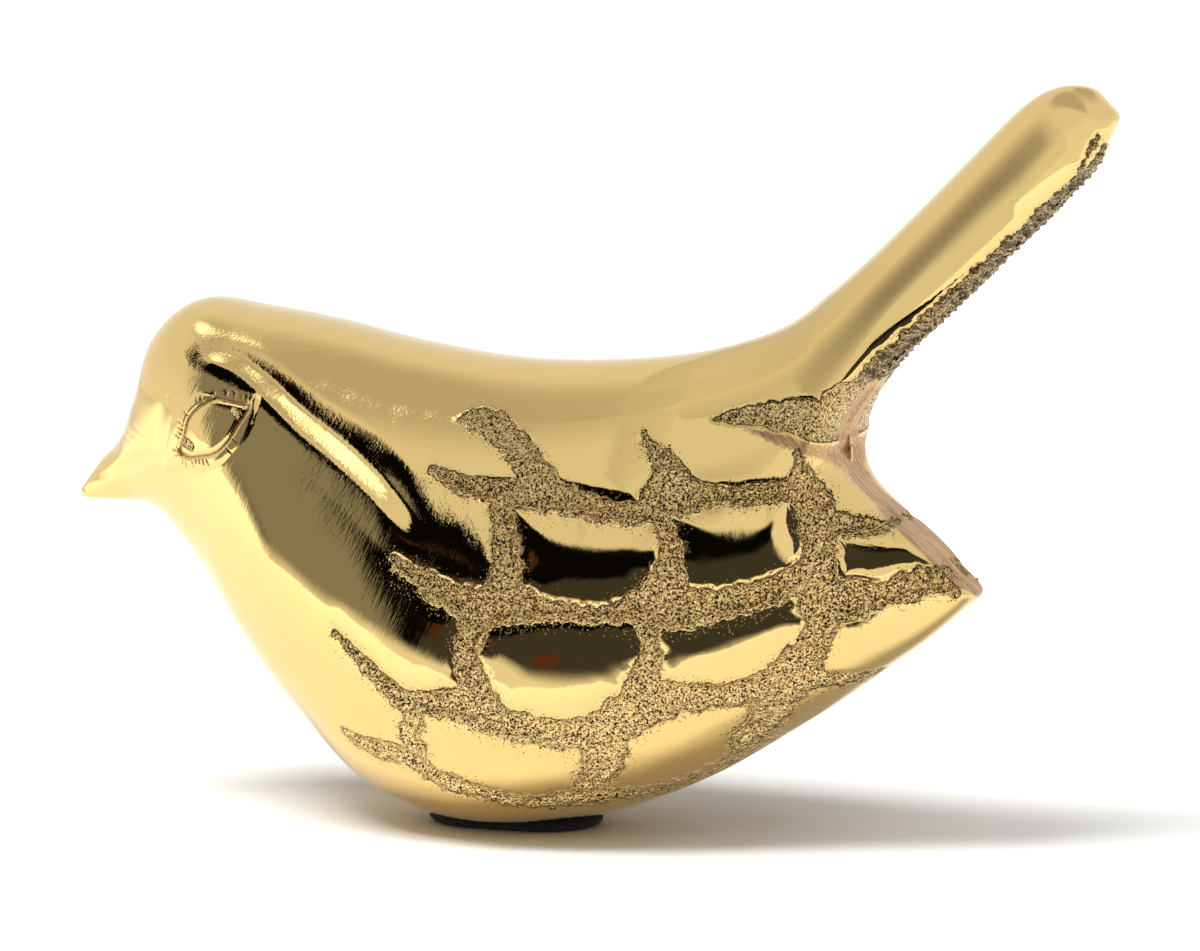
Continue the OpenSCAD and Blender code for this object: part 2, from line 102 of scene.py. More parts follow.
# The network of rough channels between the feather scales: [x, z, half width], mm
CHANNELS = [
    [(-1.5, 49.2, 0.5), (0.6, 49.1, 1.1), (2.8, 48.4, 1.5), (5, 47, 1.4), (6.7, 45.6, 1.4),
     (8.1, 43.8, 1.9), (9.5, 42.6, 2.1)],
    [(-3.4, 43.5, 0.4), (-1.7, 42.9, 0.7), (1, 41.9, 0.9), (5.1, 41.4, 1.3), (8.6, 41.4, 1.9),
     (12.2, 40.9, 1.6), (17.1, 39.8, 1.3), (21.7, 39.7, 1.3), (24.4, 41.5, 2.6), (28.3, 41.6, 1.4),
     (32.7, 41.7, 1.1), (36.9, 42.1, 1.1), (39.1, 42.3, 1.5), (40.2, 41.1, 1.6)],
    [(20.7, 48.1, 0.4), (21.9, 46.8, 0.8), (23.6, 45.3, 1.4), (24.4, 43.8, 2), (24.8, 42.1, 2.6)],
    [(38.6, 46.7, 0.4), (38.8, 45.2, 0.6), (39, 43.6, 1.3), (39.9, 41.9, 1.5)],
    [(5.4, 39.5, 1.3), (6, 37.6, 1.4), (6.5, 35.1, 1.6), (7, 33, 1.9), (6.8, 30.3, 2.4)],
    [(-6.7, 33.7, 0.4), (-4.6, 32.5, 0.8), (-2.1, 31.2, 1.3), (0.4, 30, 1.5), (3.6, 28.9, 1.8),
     (6.7, 29.2, 2.4)],
    [(7.2, 29.3, 2.4), (10, 29, 1.6), (13.6, 28.6, 0.9), (17, 28.2, 0.7), (20.2, 28.6, 1.1),
     (22.5, 29.6, 1.6), (24.6, 30.9, 2.6)],
    [(23.8, 39.3, 0.9), (24.9, 37.4, 1.3), (25.3, 35.3, 1.4), (25.3, 33, 1.9), (25.2, 30.4, 2.8)],
    [(24.9, 29.3, 2.6), (27.9, 29.1, 2.2), (31.1, 29.7, 1.8), (34.6, 30.3, 1.5), (37.7, 31.7, 1.5),
     (40.5, 32.7, 2.4)],
    [(40.6, 40.4, 1.6), (40.9, 38.3, 1.9), (41.1, 36.1, 1.6), (41.1, 33.9, 2.1), (41.3, 31, 2.4)],
    [(40.8, 38.7, 1.6), (43.6, 38.2, 1.2), (46, 38.1, 0.8), (47.5, 38, 0.4)],
    [(41.6, 29.2, 2.4), (44.4, 29.8, 2.4), (47.5, 30.4, 1.5), (50.3, 31.3, 1.6), (52.5, 32, 1.5),
     (54.2, 31.3, 0.8), (55.3, 30.6, 0.2)],
    [(3.9, 27.8, 2.1), (3.1, 25.2, 1.6), (3.1, 22.3, 1.6), (4.1, 19.1, 2.2)],
    [(-13.8, 24.7, 0.4), (-11.7, 23, 0.6), (-9.3, 20.9, 0.8), (-6.9, 18.9, 1.1), (-4.5, 17.7, 1.2),
     (-1.3, 17.2, 1.5), (1.9, 17.5, 2), (4.9, 17.4, 2.2)],
    [(3.5, 17.4, 2.4), (7, 15.6, 1.8), (11.3, 14.5, 1.5), (15.2, 14.3, 1.6), (18.8, 15.2, 2.1),
     (21.5, 17, 2.4)],
    [(23.4, 28.5, 1.9), (23.7, 25.8, 1.1), (23.7, 23.2, 1.3), (23.1, 20.3, 1.9), (21.8, 17.4, 2.2)],
    [(22.3, 17.7, 2.4), (24.8, 18.4, 2.2), (27.8, 18.7, 1.6), (30.6, 18.7, 1.3), (33.5, 19.2, 1.4),
     (36.3, 20.6, 1.6), (38.9, 22.7, 1.9), (40.6, 25.2, 1.4), (41.8, 28.1, 1.6)],
    [(-4.4, 17.2, 1.3), (-3.8, 14.9, 1.4), (-4.8, 12.6, 1.2), (-3.7, 11.7, 1.1)],
    [(18.4, 13.9, 2.1), (17.5, 11.2, 1.8), (16.4, 9.1, 1.5), (14.9, 7.2, 1.2)],
    [(39.2, 21.8, 2), (37.3, 19.9, 1.8), (35.5, 17.6, 1.5), (33.5, 15.2, 1.3), (31.8, 13.2, 1.1),
     (29.9, 11.2, 0.6)],
    [(38.5, 20.5, 1.6), (41.1, 20.3, 0.9), (43.8, 20.2, 0.5), (45.9, 20.9, 0.2)],
    [(-14.2, 12.3, 0.4), (-11.4, 11.2, 0.7), (-7.8, 10.6, 1.1), (-4.8, 9.8, 1.2), (-1.8, 7.9, 1.1),
     (1.7, 6.7, 0.9), (4.7, 5.7, 0.8), (7.9, 5, 0.6), (12, 5.5, 0.9), (15.7, 6, 0.9), (19, 6, 0.7),
     (22.4, 6.5, 0.5), (27.2, 8.9, 0.4), (30, 10.8, 0.5)],
]
# The rough band at the root of the tail and up its underside
TAIL_BANDS = [
    [(28.6, 49.9, 0.2), (31.6, 50.3, 0.9), (34.9, 50.4, 1.5), (38.7, 50.4, 2.1), (41.4, 50, 2.6),
     (42, 49.6, 2.8)],
    [(42.9, 51.7, 2.4), (44.7, 53.4, 1.4), (47.1, 56, 1.1), (49.8, 58.6, 1.1), (53.3, 61.9, 0.9),
     (57.4, 65.8, 0.9), (60.8, 69.1, 0.9), (63.8, 72, 0.7), (66.7, 75.1, 0.5), (69.3, 78, 0.4),
     (71.4, 82.6, 0.2)],
]
# The lifted edge that runs from the eye down the neck to the wing: [x, z, how wide],
# along the middle of its bright upper side
NECK_RIDGE = [(-36, 54.9, 0.7), (-31.2, 54.3, 0.7), (-26.2, 52, 0.8), (-20.5, 48.3, 0.95),
              (-14.8, 44.9, 1), (-10.3, 41.7, 1), (-6.3, 38.4, 1), (-2.4, 35.1, 0.9)]
# Its section: heights at distances from the middle, both as shares of how wide it is,
# and how steep the fall above it is at several x
EDGE_PLACES, EDGE_HEIGHTS = [-4.3, -2.3, -1.1, 1.1, 3.1], [0, 0.24, 0.3, -0.42, 0]
FALL_START, FALL_STEEPNESS = 1.1, ([-30, -20, -12, -4], [1.0, 1.0, 0.75, 0.6])
RIDGE_ENDS, RIDGE_BLUR = (3.5, 7.0), 0.22
# Lines of [x, z, half width]: round the beak and fine cuts
BEAK_LINES = [
    [(-52.6, 38.6, 0.15), (-50.1, 39.5, 0.3), (-46.5, 40.7, 0.35), (-42.8, 42.2, 0.3)],
    [(-39.2, 49.5, 0.3), (-40, 47.8, 0.45), (-40.9, 46, 0.45), (-41.8, 44.3, 0.3)],
]
FINE_LINES = [
    [(-48.3, 44.4, 0.06), (-46.1, 43.6, 0.1), (-43.8, 43, 0.1), (-42.2, 42.5, 0.06)],
    [(-47.6, 45.1, 0.06), (-44.8, 44.2, 0.1), (-42.7, 43, 0.06)],
    [(-45.4, 45.7, 0.06), (-43.4, 44.6, 0.1), (-42.2, 43.8, 0.06)],
    [(8.5, 5.5, 0.08), (6.1, 3.5, 0.12), (5.4, 2.5, 0.08)],
]
# Outlines of [x, z]
EYE_RIM = [(-40.3, 41), (-39, 44.6), (-37.8, 47.3), (-35.3, 49.6), (-33.8, 50.5), (-31.3, 50.1),
           (-27.7, 49.6), (-26.4, 50.8), (-25.9, 49.6), (-26.8, 46), (-29.1, 43.7), (-30.9, 42.4),
           (-34.3, 41.4), (-37.5, 41.2)]
EYE_OPENING = [(-36.8, 43.8), (-36.1, 45.6), (-35.2, 47.8), (-33.3, 49.4), (-31.4, 50), (-27.7, 49.6),
               (-27, 49.4), (-28, 47.6), (-29.3, 45.5), (-31.1, 44), (-33.5, 43.4), (-35.7, 43.1)]
EYE_GRAIN = [[(-35.6, 44.8, 0.7), (-34.7, 44.5, 0.7)], [(-28.9, 48.8, 0.5), (-28.3, 48.3, 0.5)]]
WING = [(-14.4, 25.4), (-5.9, 34.4), (1.2, 42.3), (11.7, 43.8), (21.6, 47.4), (34.7, 44.5), (40.4, 43.2),
        (48.6, 37.3), (55.5, 30.5), (49.5, 28.6), (44.1, 25.1), (39.2, 18.9), (29.7, 10.2), (18, 4.7),
        (6.3, 3.5), (-2.3, 6.3), (-14.6, 11.3)]
LEDGE = [(30.9, 49.4), (34.2, 48.9), (38.9, 48), (41.5, 46.5), (43.5, 45), (45.4, 42.5), (49, 39),
         (52.5, 35.6), (55.5, 32.5), (55.5, 30.3), (53.3, 32.9), (50.2, 35.7), (45.6, 39.7), (42.8, 42.2),
         (41.3, 44.3), (40.3, 45.4), (37.4, 47.1)]

# Grid of the smooth skin: rows between two ribs, then rows and rings of the first faces
ROWS_PER_RIB, BASE_STEP, BASE_RINGS, SPLIT_ROUNDS = 32, 8, 24, 8
FLAT_LIMIT, SEAT_Z, TIP_SPAN = 0.9, 1.6, 1.5
# Slack in the length of an edge, cells per mm in which points are joined, and how near
# the mid-plane a point lies on it
SPLIT_SLACK, WELD_CELLS, ZERO_Y = 1.0001, 1e4, 1e-6

# Relief. Pairs are where a smooth step starts and ends; lengths are in mm
# How edges waver: [height, size of a blob, seed]
CHANNEL_WAVER, BAND_WAVER = [(0.22, 1.7, 3), (0.2, 0.8, 4)], [(0.3, 1.2, 5)]
SLOPE_BLUR, SLOPE_SOFT, SOFT_BLUR = 0.5, (-0.3, 0.6), 0.4
LOW_SOFT, LOW_SOFT_SHARE = (20, 14), 0.8
SCALE_HALF_W, EDGE_W = 4.5, 0.7
SWELL_EDGE, SWELL_OUTSIDE, SWELL_TOP, SWELL_BLUR = (1.5, -2.5), 0.3, (44, 40.5), 0.2
CHANNEL_WALL, BAND_WALL, BAND_DEPTH, WALL_BLUR = (-0.05, -1.0), (0.1, -0.8), 0.35, 0.12
BALL_REACH, BALL_BASE, BALL_HEIGHT = 2.0, 0.4, 0.35
LID_LINE_DEPTH, LID_LINE_W, EYE_BLUR = 0.35, 0.22, 0.14
BEAK_DEPTH, BEAK_WALL, BEAK_BLUR = 0.16, (1.1, -0.3), 0.4
FINE_DEPTH, FINE_WALL = 0.05, (0.12, -0.1)
MARK_DEPTH, MARK_WALL = 0.12, (0.14, -0.06)
# Short cuts across the eyelids: start and end off the eye's line, each with its spread,
# their half widths, the share of places left bare and the seeds
MARK_START, MARK_END, MARK_HALF_W = (0.3, 0.3), (0.8, 0.5), (0.03, 0.05)
MARK_BARE, MARK_SEEDS = 0.35, (41, 42)

# Size of the faces: they grow with the distance from rough or carved places
GROWTH, RIM_GAP, HEAD_X, HEAD_GAP = (0.25, 1.2), 0.2, -38, 0.5
RIDGE_NEAR, RIDGE_GROWTH = 4, 0.2
EYE_SHARE, EYE_REACH = 0.42, (1.5, 0.5)

# Places where the skin is evened out: [x, z, reach, step off the mid-plane, weight]
FORK_PLACE = (35, 36, (13, 7), (1.5, 3.5), 1.0)
TIP_PLACE = (71, 84.5, (5.5, 3.0), (0.8, 2.0), 0.3)
BROW_PLACE = (-41, 46.5, (5.5, 2.5), (0.8, 2.5), 0.12)
SEAM_WEIGHT, EVEN_SHARE, EVEN_ROUNDS = 0.8, 0.9, 140

# Where the masks of the material start and end
SIDE_EDGE, ROUGH_EDGE, SOFT_SPREAD = (0.2, 1.2), (1.0, -0.8), 1.3
GRAIN_EDGE, BAND_EDGE, LEDGE_EDGE = (0.3, -0.3), (0.5, -0.4), (0.1, -0.2)
TAIL_X, TAIL_Z = (43.5, 46), (49, 52)
RIM_W, LID_W, MARK_EDGE, BRUSHED_EDGE = 0.3, 0.14, (0.12, -0.02), (15, 4)
# Cast grain: [share, size of a blob, seed]
CAST_GRAIN = [(0.55, 0.62, 11), (0.45, 0.36, 12)]
CAST_GAIN, CAST_START = 2.5, 1.2
# Notches of the cut under the tail, along [x, z]
TAIL_ALONG, NOTCH_PITCH, NOTCH_POWER = (0.55, 0.835), 1.1, 0.7
NOTCH_WAVER, NOTCH_GAIN = (0.5, 2.5, 13), 1.5
# Where the inner faces of the casting are told from its skin
VENT_RADIUS, VENT_TOP = 1.7, 8.0
LIP_DEEP, LIP_GAP, EDGE_GAP = 0.35, 0.6, 0.3
WALL_GAP, SLANT_GAP, SLANT = 2.4, 1.5, 0.3
ON_PLANE = 1e-3

# The felt pad: points round it, rings on its flats, the round of its edge and its fuzz
PAD_AROUND, PAD_FLATS, PAD_EDGE_RINGS, PAD_ROUND = 160, (0, 0.25, 0.5, 0.7, 0.85), 9, 1.5
PAD_FUZZ, PAD_SHRINK = [(0.05, 0.5, 31), (0.03, 0.25, 32)], 0.05


# ---------------------------------------------------------------- sizes and colours
class BirdSizes(bpy.types.PropertyGroup):
    bird_length: FloatProperty(name="Length", description="Tip of the beak to tip of the tail",
                               default=0.1275, unit="LENGTH")
    bird_height: FloatProperty(name="Height", description="Top of the tail above the table",
                               default=0.088, unit="LENGTH")
    bird_width: FloatProperty(name="Width", description="Across the wings",
                              default=0.046, unit="LENGTH")
    strip_half_w: FloatProperty(name="Ground strip", description="Half width of the strip ground flat",
                                default=0.0035, unit="LENGTH")
    land_half_w: FloatProperty(name="Parting land", description="Half width of the land on the parting line",
                               default=0.0003, unit="LENGTH")
    channel_drop: FloatProperty(name="Channel depth", description="Depth of the cast channels",
                                default=0.00055, unit="LENGTH")
    scale_swell: FloatProperty(name="Scale swell",
                               description="How far the middle of a feather scale stands up",
                               default=0.00022, unit="LENGTH")
    edge_round: FloatProperty(name="Scale edges", description="How far the edge of a scale rounds off",
                              default=0.0001, unit="LENGTH")
    lid_height: FloatProperty(name="Eyelids", description="Height of the eyelids",
                              default=0.0004, unit="LENGTH")
    grain_height: FloatProperty(name="Grain", description="Height of the cast grain",
                                default=0.00016, unit="LENGTH")
    ridge_height: FloatProperty(name="Neck ridge", description="Height of the ridge down the neck",
                                default=0.001, unit="LENGTH")
    notch_drop: FloatProperty(name="Tail notches", description="Depth of the notches under the tail",
                              default=0.0004, unit="LENGTH")
    smooth_face: FloatProperty(name="Smooth face size", description="Edge of a face on polished metal",
                               default=0.0009, unit="LENGTH")
    fine_face: FloatProperty(name="Fine face size", description="Edge of a face in rough or carved places",
                             default=0.00044, unit="LENGTH")


class BirdColours(bpy.types.PropertyGroup):
    polished: FloatVectorProperty(name="Polished metal", description="Colour of the buffed surface",
                                  subtype="COLOR", size=3, default=(0.83, 0.605, 0.24))
    cast_dark: FloatVectorProperty(name="Cast metal, pits", description="Colour down in the cast grain",
                                   subtype="COLOR", size=3, default=(0.06, 0.028, 0.009))
    cast_mid: FloatVectorProperty(name="Cast metal", description="Colour between the pits and the tips",
                                  subtype="COLOR", size=3, default=(0.49, 0.29, 0.094))
    cast_grey: FloatVectorProperty(name="Cast metal, stained",
                                   description="Colour where the cast metal is stained",
                                   subtype="COLOR", size=3, default=(0.30, 0.22, 0.16))
    # Partly the paler cast metal, partly painted glints on the tips of the grain
    cast_pale_and_glint: FloatVectorProperty(name="Cast metal, tips", description="Colour on top of the cast grain",
                                    subtype="COLOR", size=3, default=(1.0, 0.76, 0.35))
    ground: FloatVectorProperty(name="Ground metal", description="Colour of the filed strip",
                                subtype="COLOR", size=3, default=(0.70, 0.44, 0.21))
    lid_line: FloatVectorProperty(name="Eye lines", description="Colour down in the lines round the eye",
                                  subtype="COLOR", size=3, default=(0.20, 0.07, 0.025))
    # Near black, so the pad's edge also paints the contact shadow under the belly
    felt: FloatVectorProperty(name="Felt", description="Colour of the belly pad",
                              subtype="COLOR", size=3, default=(0.008, 0.008, 0.009))
    braze: FloatVectorProperty(name="Braze", description="Colour of the seam filler",
                               subtype="COLOR", size=3, default=(0.78, 0.55, 0.24))
    adhesive: FloatVectorProperty(name="Adhesive", description="Colour of the film above the pad",
                                  subtype="COLOR", size=3, default=(0.5, 0.45, 0.33))
    floor: FloatVectorProperty(name="Floor", description="Colour of the table",
                               subtype="COLOR", size=3, default=(0.86, 0.85, 0.84))


# ---------------------------------------------------------------- noise and fields
HASH_CELLS, HASH_SEED = (374761393, 668265263, 2147483647), 974634777
HASH_TURNS, HASH_BITS = (1274126177, 668265263), 0xFFFFFFFF


def lattice(cells, seed):
    """A fixed random value from 0 to 1 for each whole-number cell."""
    h = sum(cells[..., k] * HASH_CELLS[k] for k in range(3)) + seed * HASH_SEED
    for shift, factor in zip((13, 16), HASH_TURNS):
        h = (h ^ (h >> shift)) * factor & HASH_BITS
    return ((h ^ (h >> 15)) & 0xFFFFFF) / 0xFFFFFF


def noise(points, size, seed=0):
    """Smooth noise from -1 to 1 over points, with blobs of the given size."""
    p = points / size
    base = np.floor(p).astype(np.int64)
    f = p - base
    f = f * f * (3 - 2 * f)
    total = np.zeros(len(points))
    for corner in np.ndindex(2, 2, 2):
        corner = np.array(corner)
        weight = np.prod(np.where(corner == 1, f, 1 - f), axis=1)
        total += weight * lattice(base + corner, seed)
    return total * 2 - 1


def noise_mix(points, rows):
    """The sum of several noises, each [height, size, seed]."""
    return sum(height * noise(points, size, seed) for height, size, seed in rows)


def step(low, high, value):
    """A smooth step from 0 at low to 1 at high; low may be the larger."""
    t = np.clip((value - low) / (high - low), 0, 1)
    return t * t * (3 - 2 * t)


def between(a, b, c, d, t):
    """A smooth curve from b to c, headed by its neighbours a and d."""
    return (b + (c - a) * t / 2 + (2 * a - 5 * b + 4 * c - d) * t ** 2 / 2
            + (3 * b - a - 3 * c + d) * t ** 3 / 2)


def curve(points, closed=False, steps=6):
    """Points on a smooth curve through the given ones."""
    p = np.array(points, float)
    if closed:
        p = np.concatenate([p[-1:], p, p[:2]])
    else:
        p = np.concatenate([2 * p[:1] - p[1:2], p, 2 * p[-1:] - p[-2:-1]])
    t = np.arange(steps)[:, None] / steps
    rows = [between(*p[k:k + 4], t) for k in range(len(p) - 3)]
    return np.concatenate(rows + ([] if closed else [p[-2:-1]]))


class Field:
    """A value over the side view of the bird, in mm, kept on a fine grid."""
    cell = 0.15
    x = np.arange(-58, 75, cell)
    z = np.arange(-1, 90, cell)

    def __init__(self, values):
        self.v = values

    @classmethod
    def filled(cls, value):
        return cls(np.full((len(cls.z), len(cls.x)), float(value)))

    @classmethod
    def distance(cls, lines, reach=6.0):
        """Distance from the edge of the lines, less than zero inside them."""
        field = cls.filled(reach)
        for line in lines:
            c = curve(line)
            for a, b in zip(c[:-1], c[1:]):
                field.near_segment(a, b, reach)
        return field

    def near_segment(self, a, b, reach):
        lo = np.minimum(a[:2], b[:2]) - reach
        hi = np.maximum(a[:2], b[:2]) + reach
        i0, i1 = np.searchsorted(self.x, (lo[0], hi[0]))
        j0, j1 = np.searchsorted(self.z, (lo[1], hi[1]))
        if i0 == i1 or j0 == j1:
            return
        dx = self.x[None, i0:i1] - a[0]
        dz = self.z[j0:j1, None] - a[1]
        along = b[:2] - a[:2]
        t = np.clip((dx * along[0] + dz * along[1]) / max(along @ along, 1e-9), 0, 1)
        gap = np.hypot(dx - t * along[0], dz - t * along[1]) - (a[2] + (b[2] - a[2]) * t)
        part = self.v[j0:j1, i0:i1]
        np.minimum(part, gap, out=part)

    @classmethod
    def area(cls, outline, reach=6.0):
        """Distance from the edge of an area, less than zero inside it."""
        c = curve(outline, closed=True)
        ring = np.concatenate([c, c[:1]])
        field = cls.filled(reach)
        inside = np.zeros(field.v.shape, bool)
        for a, b in zip(ring[:-1], ring[1:]):
            field.near_segment(np.append(a, 0), np.append(b, 0), reach)
            crosses = (a[1] > field.z) != (b[1] > field.z)
            if a[1] != b[1]:
                at = a[0] + (field.z - a[1]) / (b[1] - a[1]) * (b[0] - a[0])
                inside ^= crosses[:, None] & (field.x[None, :] < at[:, None])
        field.v = np.where(inside, -field.v, field.v)
        return field

    def waver(self, rows):
        """Adds noises to the field, each [height, size, seed]."""
        x, z = np.meshgrid(self.x, self.z)
        points = np.stack([x.ravel(), np.zeros(x.size), z.ravel()], 1)
        for height, size, seed in rows:
            self.v = self.v + height * noise(points, size, seed).reshape(x.shape)
        return self

    def blurred(self, width):
        """The field after a soft blur of the given width."""
        n = max(1, round(3 * width / self.cell))
        k = np.exp(-0.5 * (np.arange(-n, n + 1) * self.cell / width) ** 2)
        k /= k.sum()
        v = np.pad(self.v, n, mode="edge")
        rows = sum(k[i] * v[:, i:i + self.v.shape[1]] for i in range(2 * n + 1))
        return Field(sum(k[i] * rows[i:i + self.v.shape[0]] for i in range(2 * n + 1)))

    def at(self, points):
        """The field's value at points given in mm."""
        u = np.clip((points[:, 0] - self.x[0]) / self.cell, 0, len(self.x) - 1.001)
        w = np.clip((points[:, 2] - self.z[0]) / self.cell, 0, len(self.z) - 1.001)
        i, j = u.astype(int), w.astype(int)
        fu, fw = u - i, w - j
        v = self.v
        return ((v[j, i] * (1 - fu) + v[j, i + 1] * fu) * (1 - fw)
                + (v[j + 1, i] * (1 - fu) + v[j + 1, i + 1] * fu) * fw)


# ---------------------------------------------------------------- smooth skin
def rib_rows(chain, count):
    """Rows of the skin through a chain of ribs."""
    t = np.arange(ROWS_PER_RIB)[:, None] / ROWS_PER_RIB
    return np.concatenate([between(*chain[k:k + 4], t) for k in range(count)])


def side_rows(rows, low, flat, bend):
    """One side of each rib: outline x z, flank x z, half width, flat, bend x z."""
    outline = rows[:, 4:6] if low else rows[:, 0:2]
    other = rows[:, 0:2] if low else rows[:, 4:6]
    reach = rows[:, 2:4] - outline
    across = other - outline
    across /= np.linalg.norm(across, axis=1, keepdims=True) + 1e-9
    turn = (np.linalg.norm(reach, axis=1, keepdims=True) * across - reach) * bend[:, None]
    return np.column_stack([outline, rows[:, 2:4], rows[:, 6], np.broadcast_to(flat, len(rows)), turn])


def tip_rows(before, start, end, after):
    """Rounds a tip from one side to the other."""
    t = (np.arange(ROWS_PER_RIB) / ROWS_PER_RIB)[:, None]
    rows = start + (end - start) * t
    span = TIP_SPAN * np.linalg.norm(end[:2] - start[:2])
    head = start[:2] - before[:2]
    tail = after[:2] - end[:2]
    head *= span / np.linalg.norm(head)
    tail *= span / np.linalg.norm(tail)
    rows[:, :2] = ((2 * t ** 3 - 3 * t ** 2 + 1) * start[:2] + (t ** 3 - 2 * t ** 2 + t) * head
                   + (3 * t ** 2 - 2 * t ** 3) * end[:2] + (t ** 3 - t ** 2) * tail)
    return rows


def skin_loop(sizes):
    """All sides of all ribs in one closed loop, in mm, as the solid's source has them."""
    length, height, half = sizes.bird_length / MM, sizes.bird_height / MM, sizes.bird_width / MM / 2
    scale = np.array([length, height] * 3 + [half])
    body, tail, rear = (np.array(r) * scale for r in (BODY_RIB_SHARES, TAIL_RIB_SHARES, REAR_RIB_SHARES))
    notch = np.array(NOTCH_SHARES) * scale[:2]
    fork, before = body[-1], body[-2]
    tail_start = np.concatenate([fork[:4], notch, fork[6:]])
    rear_start = np.concatenate([notch, fork[2:]])
    body_end = np.concatenate([tail[0, :2], (tail[0, 2:4] + rear[0, 2:4]) / 2, rear[0, 4:6],
                               [(tail[0, 6] + rear[0, 6]) / 2]])
    lead = np.array(FORK_LEAD_SHARES) * scale[:2]
    tail_lead = np.concatenate([before[:2], lead, 2 * notch - tail[0, 4:6], before[6:]])
    rear_lead = np.concatenate([2 * notch - rear[0, :2], before[2:]])
    body_chain = np.vstack([2 * body[0] - body[1], body, body_end])
    tail_chain = np.vstack([tail_lead, tail_start, tail, 2 * tail[-1] - tail[-2]])
    rear_chain = np.vstack([rear_lead, rear_start, rear, 2 * rear[-1] - rear[-2]])
    b = np.vstack([rib_rows(body_chain, len(body) - 1), body[-1:]])
    t = np.vstack([rib_rows(tail_chain, len(tail)), tail[-1:]])
    r = np.vstack([rib_rows(rear_chain, len(rear)), rear[-1:]])
    fade = step(len(b) - 1, len(b) - 1 - 2 * ROWS_PER_RIB, np.arange(len(b)))
    none_t, none_r = np.zeros(len(t)), np.zeros(len(r))
    land, strip = sizes.land_half_w / MM, sizes.strip_half_w / MM
    body_top, body_low = side_rows(b, False, land, fade), side_rows(b, True, land, fade)
    end = len(t) - 1 - ROWS_PER_RIB // 2
    tail_strip = land + (strip - land) * step(end, end - 2 * ROWS_PER_RIB, np.arange(len(t)))
    tail_top, tail_low = side_rows(t, False, land, none_t), side_rows(t, True, tail_strip, none_t)
    rear_top, rear_low = side_rows(r, False, strip, none_r), side_rows(r, True, land, none_r)
    return np.vstack([
        body_top[:-1], tail_top[:-1],
        tip_rows(tail_top[-2], tail_top[-1], tail_low[-1], tail_low[-2]),
        tail_low[:0:-1], rear_top[:-1],
        tip_rows(rear_top[-2], rear_top[-1], rear_low[-1], rear_low[-2]),
        rear_low[:0:-1], body_low[:0:-1],
        tip_rows(body_low[1], body_low[0], body_top[0], body_top[1]),
    ])


def on_skin(loop, s, t):
    """Points of the smooth skin: s counts along the loop, t runs from the mid-plane
    (-1) over the edge of the flat (0) out to the flank (1)."""
    k = np.floor(s).astype(int)
    f = (s - k)[:, None]
    row = loop[k % len(loop)] * (1 - f) + loop[(k + 1) % len(loop)] * f
    flat = np.minimum(row[:, 5], row[:, 4] * FLAT_LIMIT)
    turn = np.clip(t, 0, 1) * math.pi / 2
    q = (1 - np.cos(turn))[:, None]
    place = row[:, :2] + (row[:, 2:4] - row[:, :2]) * q - q * q * (1 - q) * row[:, 6:8]
    y = flat * (1 + np.minimum(t, 0)) + (row[:, 4] - flat) * np.sin(turn)
    return np.column_stack([place[:, 0], y, np.maximum(place[:, 1], SEAT_Z)])


def grid_faces(rows, columns, start=0):
    """Triangles over a grid of points."""
    i, j = (g.ravel() for g in np.meshgrid(np.arange(rows - 1), np.arange(columns - 1), indexing="ij"))
    a = start + i * columns + j
    b = a + columns
    return np.concatenate([np.column_stack([a, b, b + 1]), np.column_stack([a, b + 1, a + 1])])


def refine(loop, wanted):
    """Triangles over the skin, split until each edge is as short as wanted says."""
    s_line = np.arange(0, len(loop) + 1, BASE_STEP, dtype=float)
    t_line = np.concatenate([[-1.0], np.arange(BASE_RINGS + 1) / BASE_RINGS])
    s, t = (g.ravel() for g in np.meshgrid(s_line, t_line, indexing="ij"))
    n = len(t_line)
    faces = grid_faces(len(s_line), n)
    points = on_skin(loop, s, t)
    for _ in range(SPLIT_ROUNDS):
        edges = np.sort(np.concatenate([faces[:, [0, 1]], faces[:, [1, 2]], faces[:, [2, 0]]]), axis=1)
        key = edges[:, 0] * len(s) + edges[:, 1]
        _, first, which = np.unique(key, return_index=True, return_inverse=True)
        e = edges[first]
        middle = (points[e[:, 0]] + points[e[:, 1]]) / 2
        long = np.linalg.norm(points[e[:, 0]] - points[e[:, 1]], axis=1) > wanted(middle) * SPLIT_SLACK
        if not long.any():
            break
        number = np.full(len(e), -1)
        number[long] = len(s) + np.arange(long.sum())
        s_new = (s[e[long, 0]] + s[e[long, 1]]) / 2
        t_new = (t[e[long, 0]] + t[e[long, 1]]) / 2
        s, t = np.concatenate([s, s_new]), np.concatenate([t, t_new])
        points = np.vstack([points, on_skin(loop, s_new, t_new)])
        m = number[which].reshape(3, -1).T
        faces = split(faces, m, points)
    return s, t, points, faces


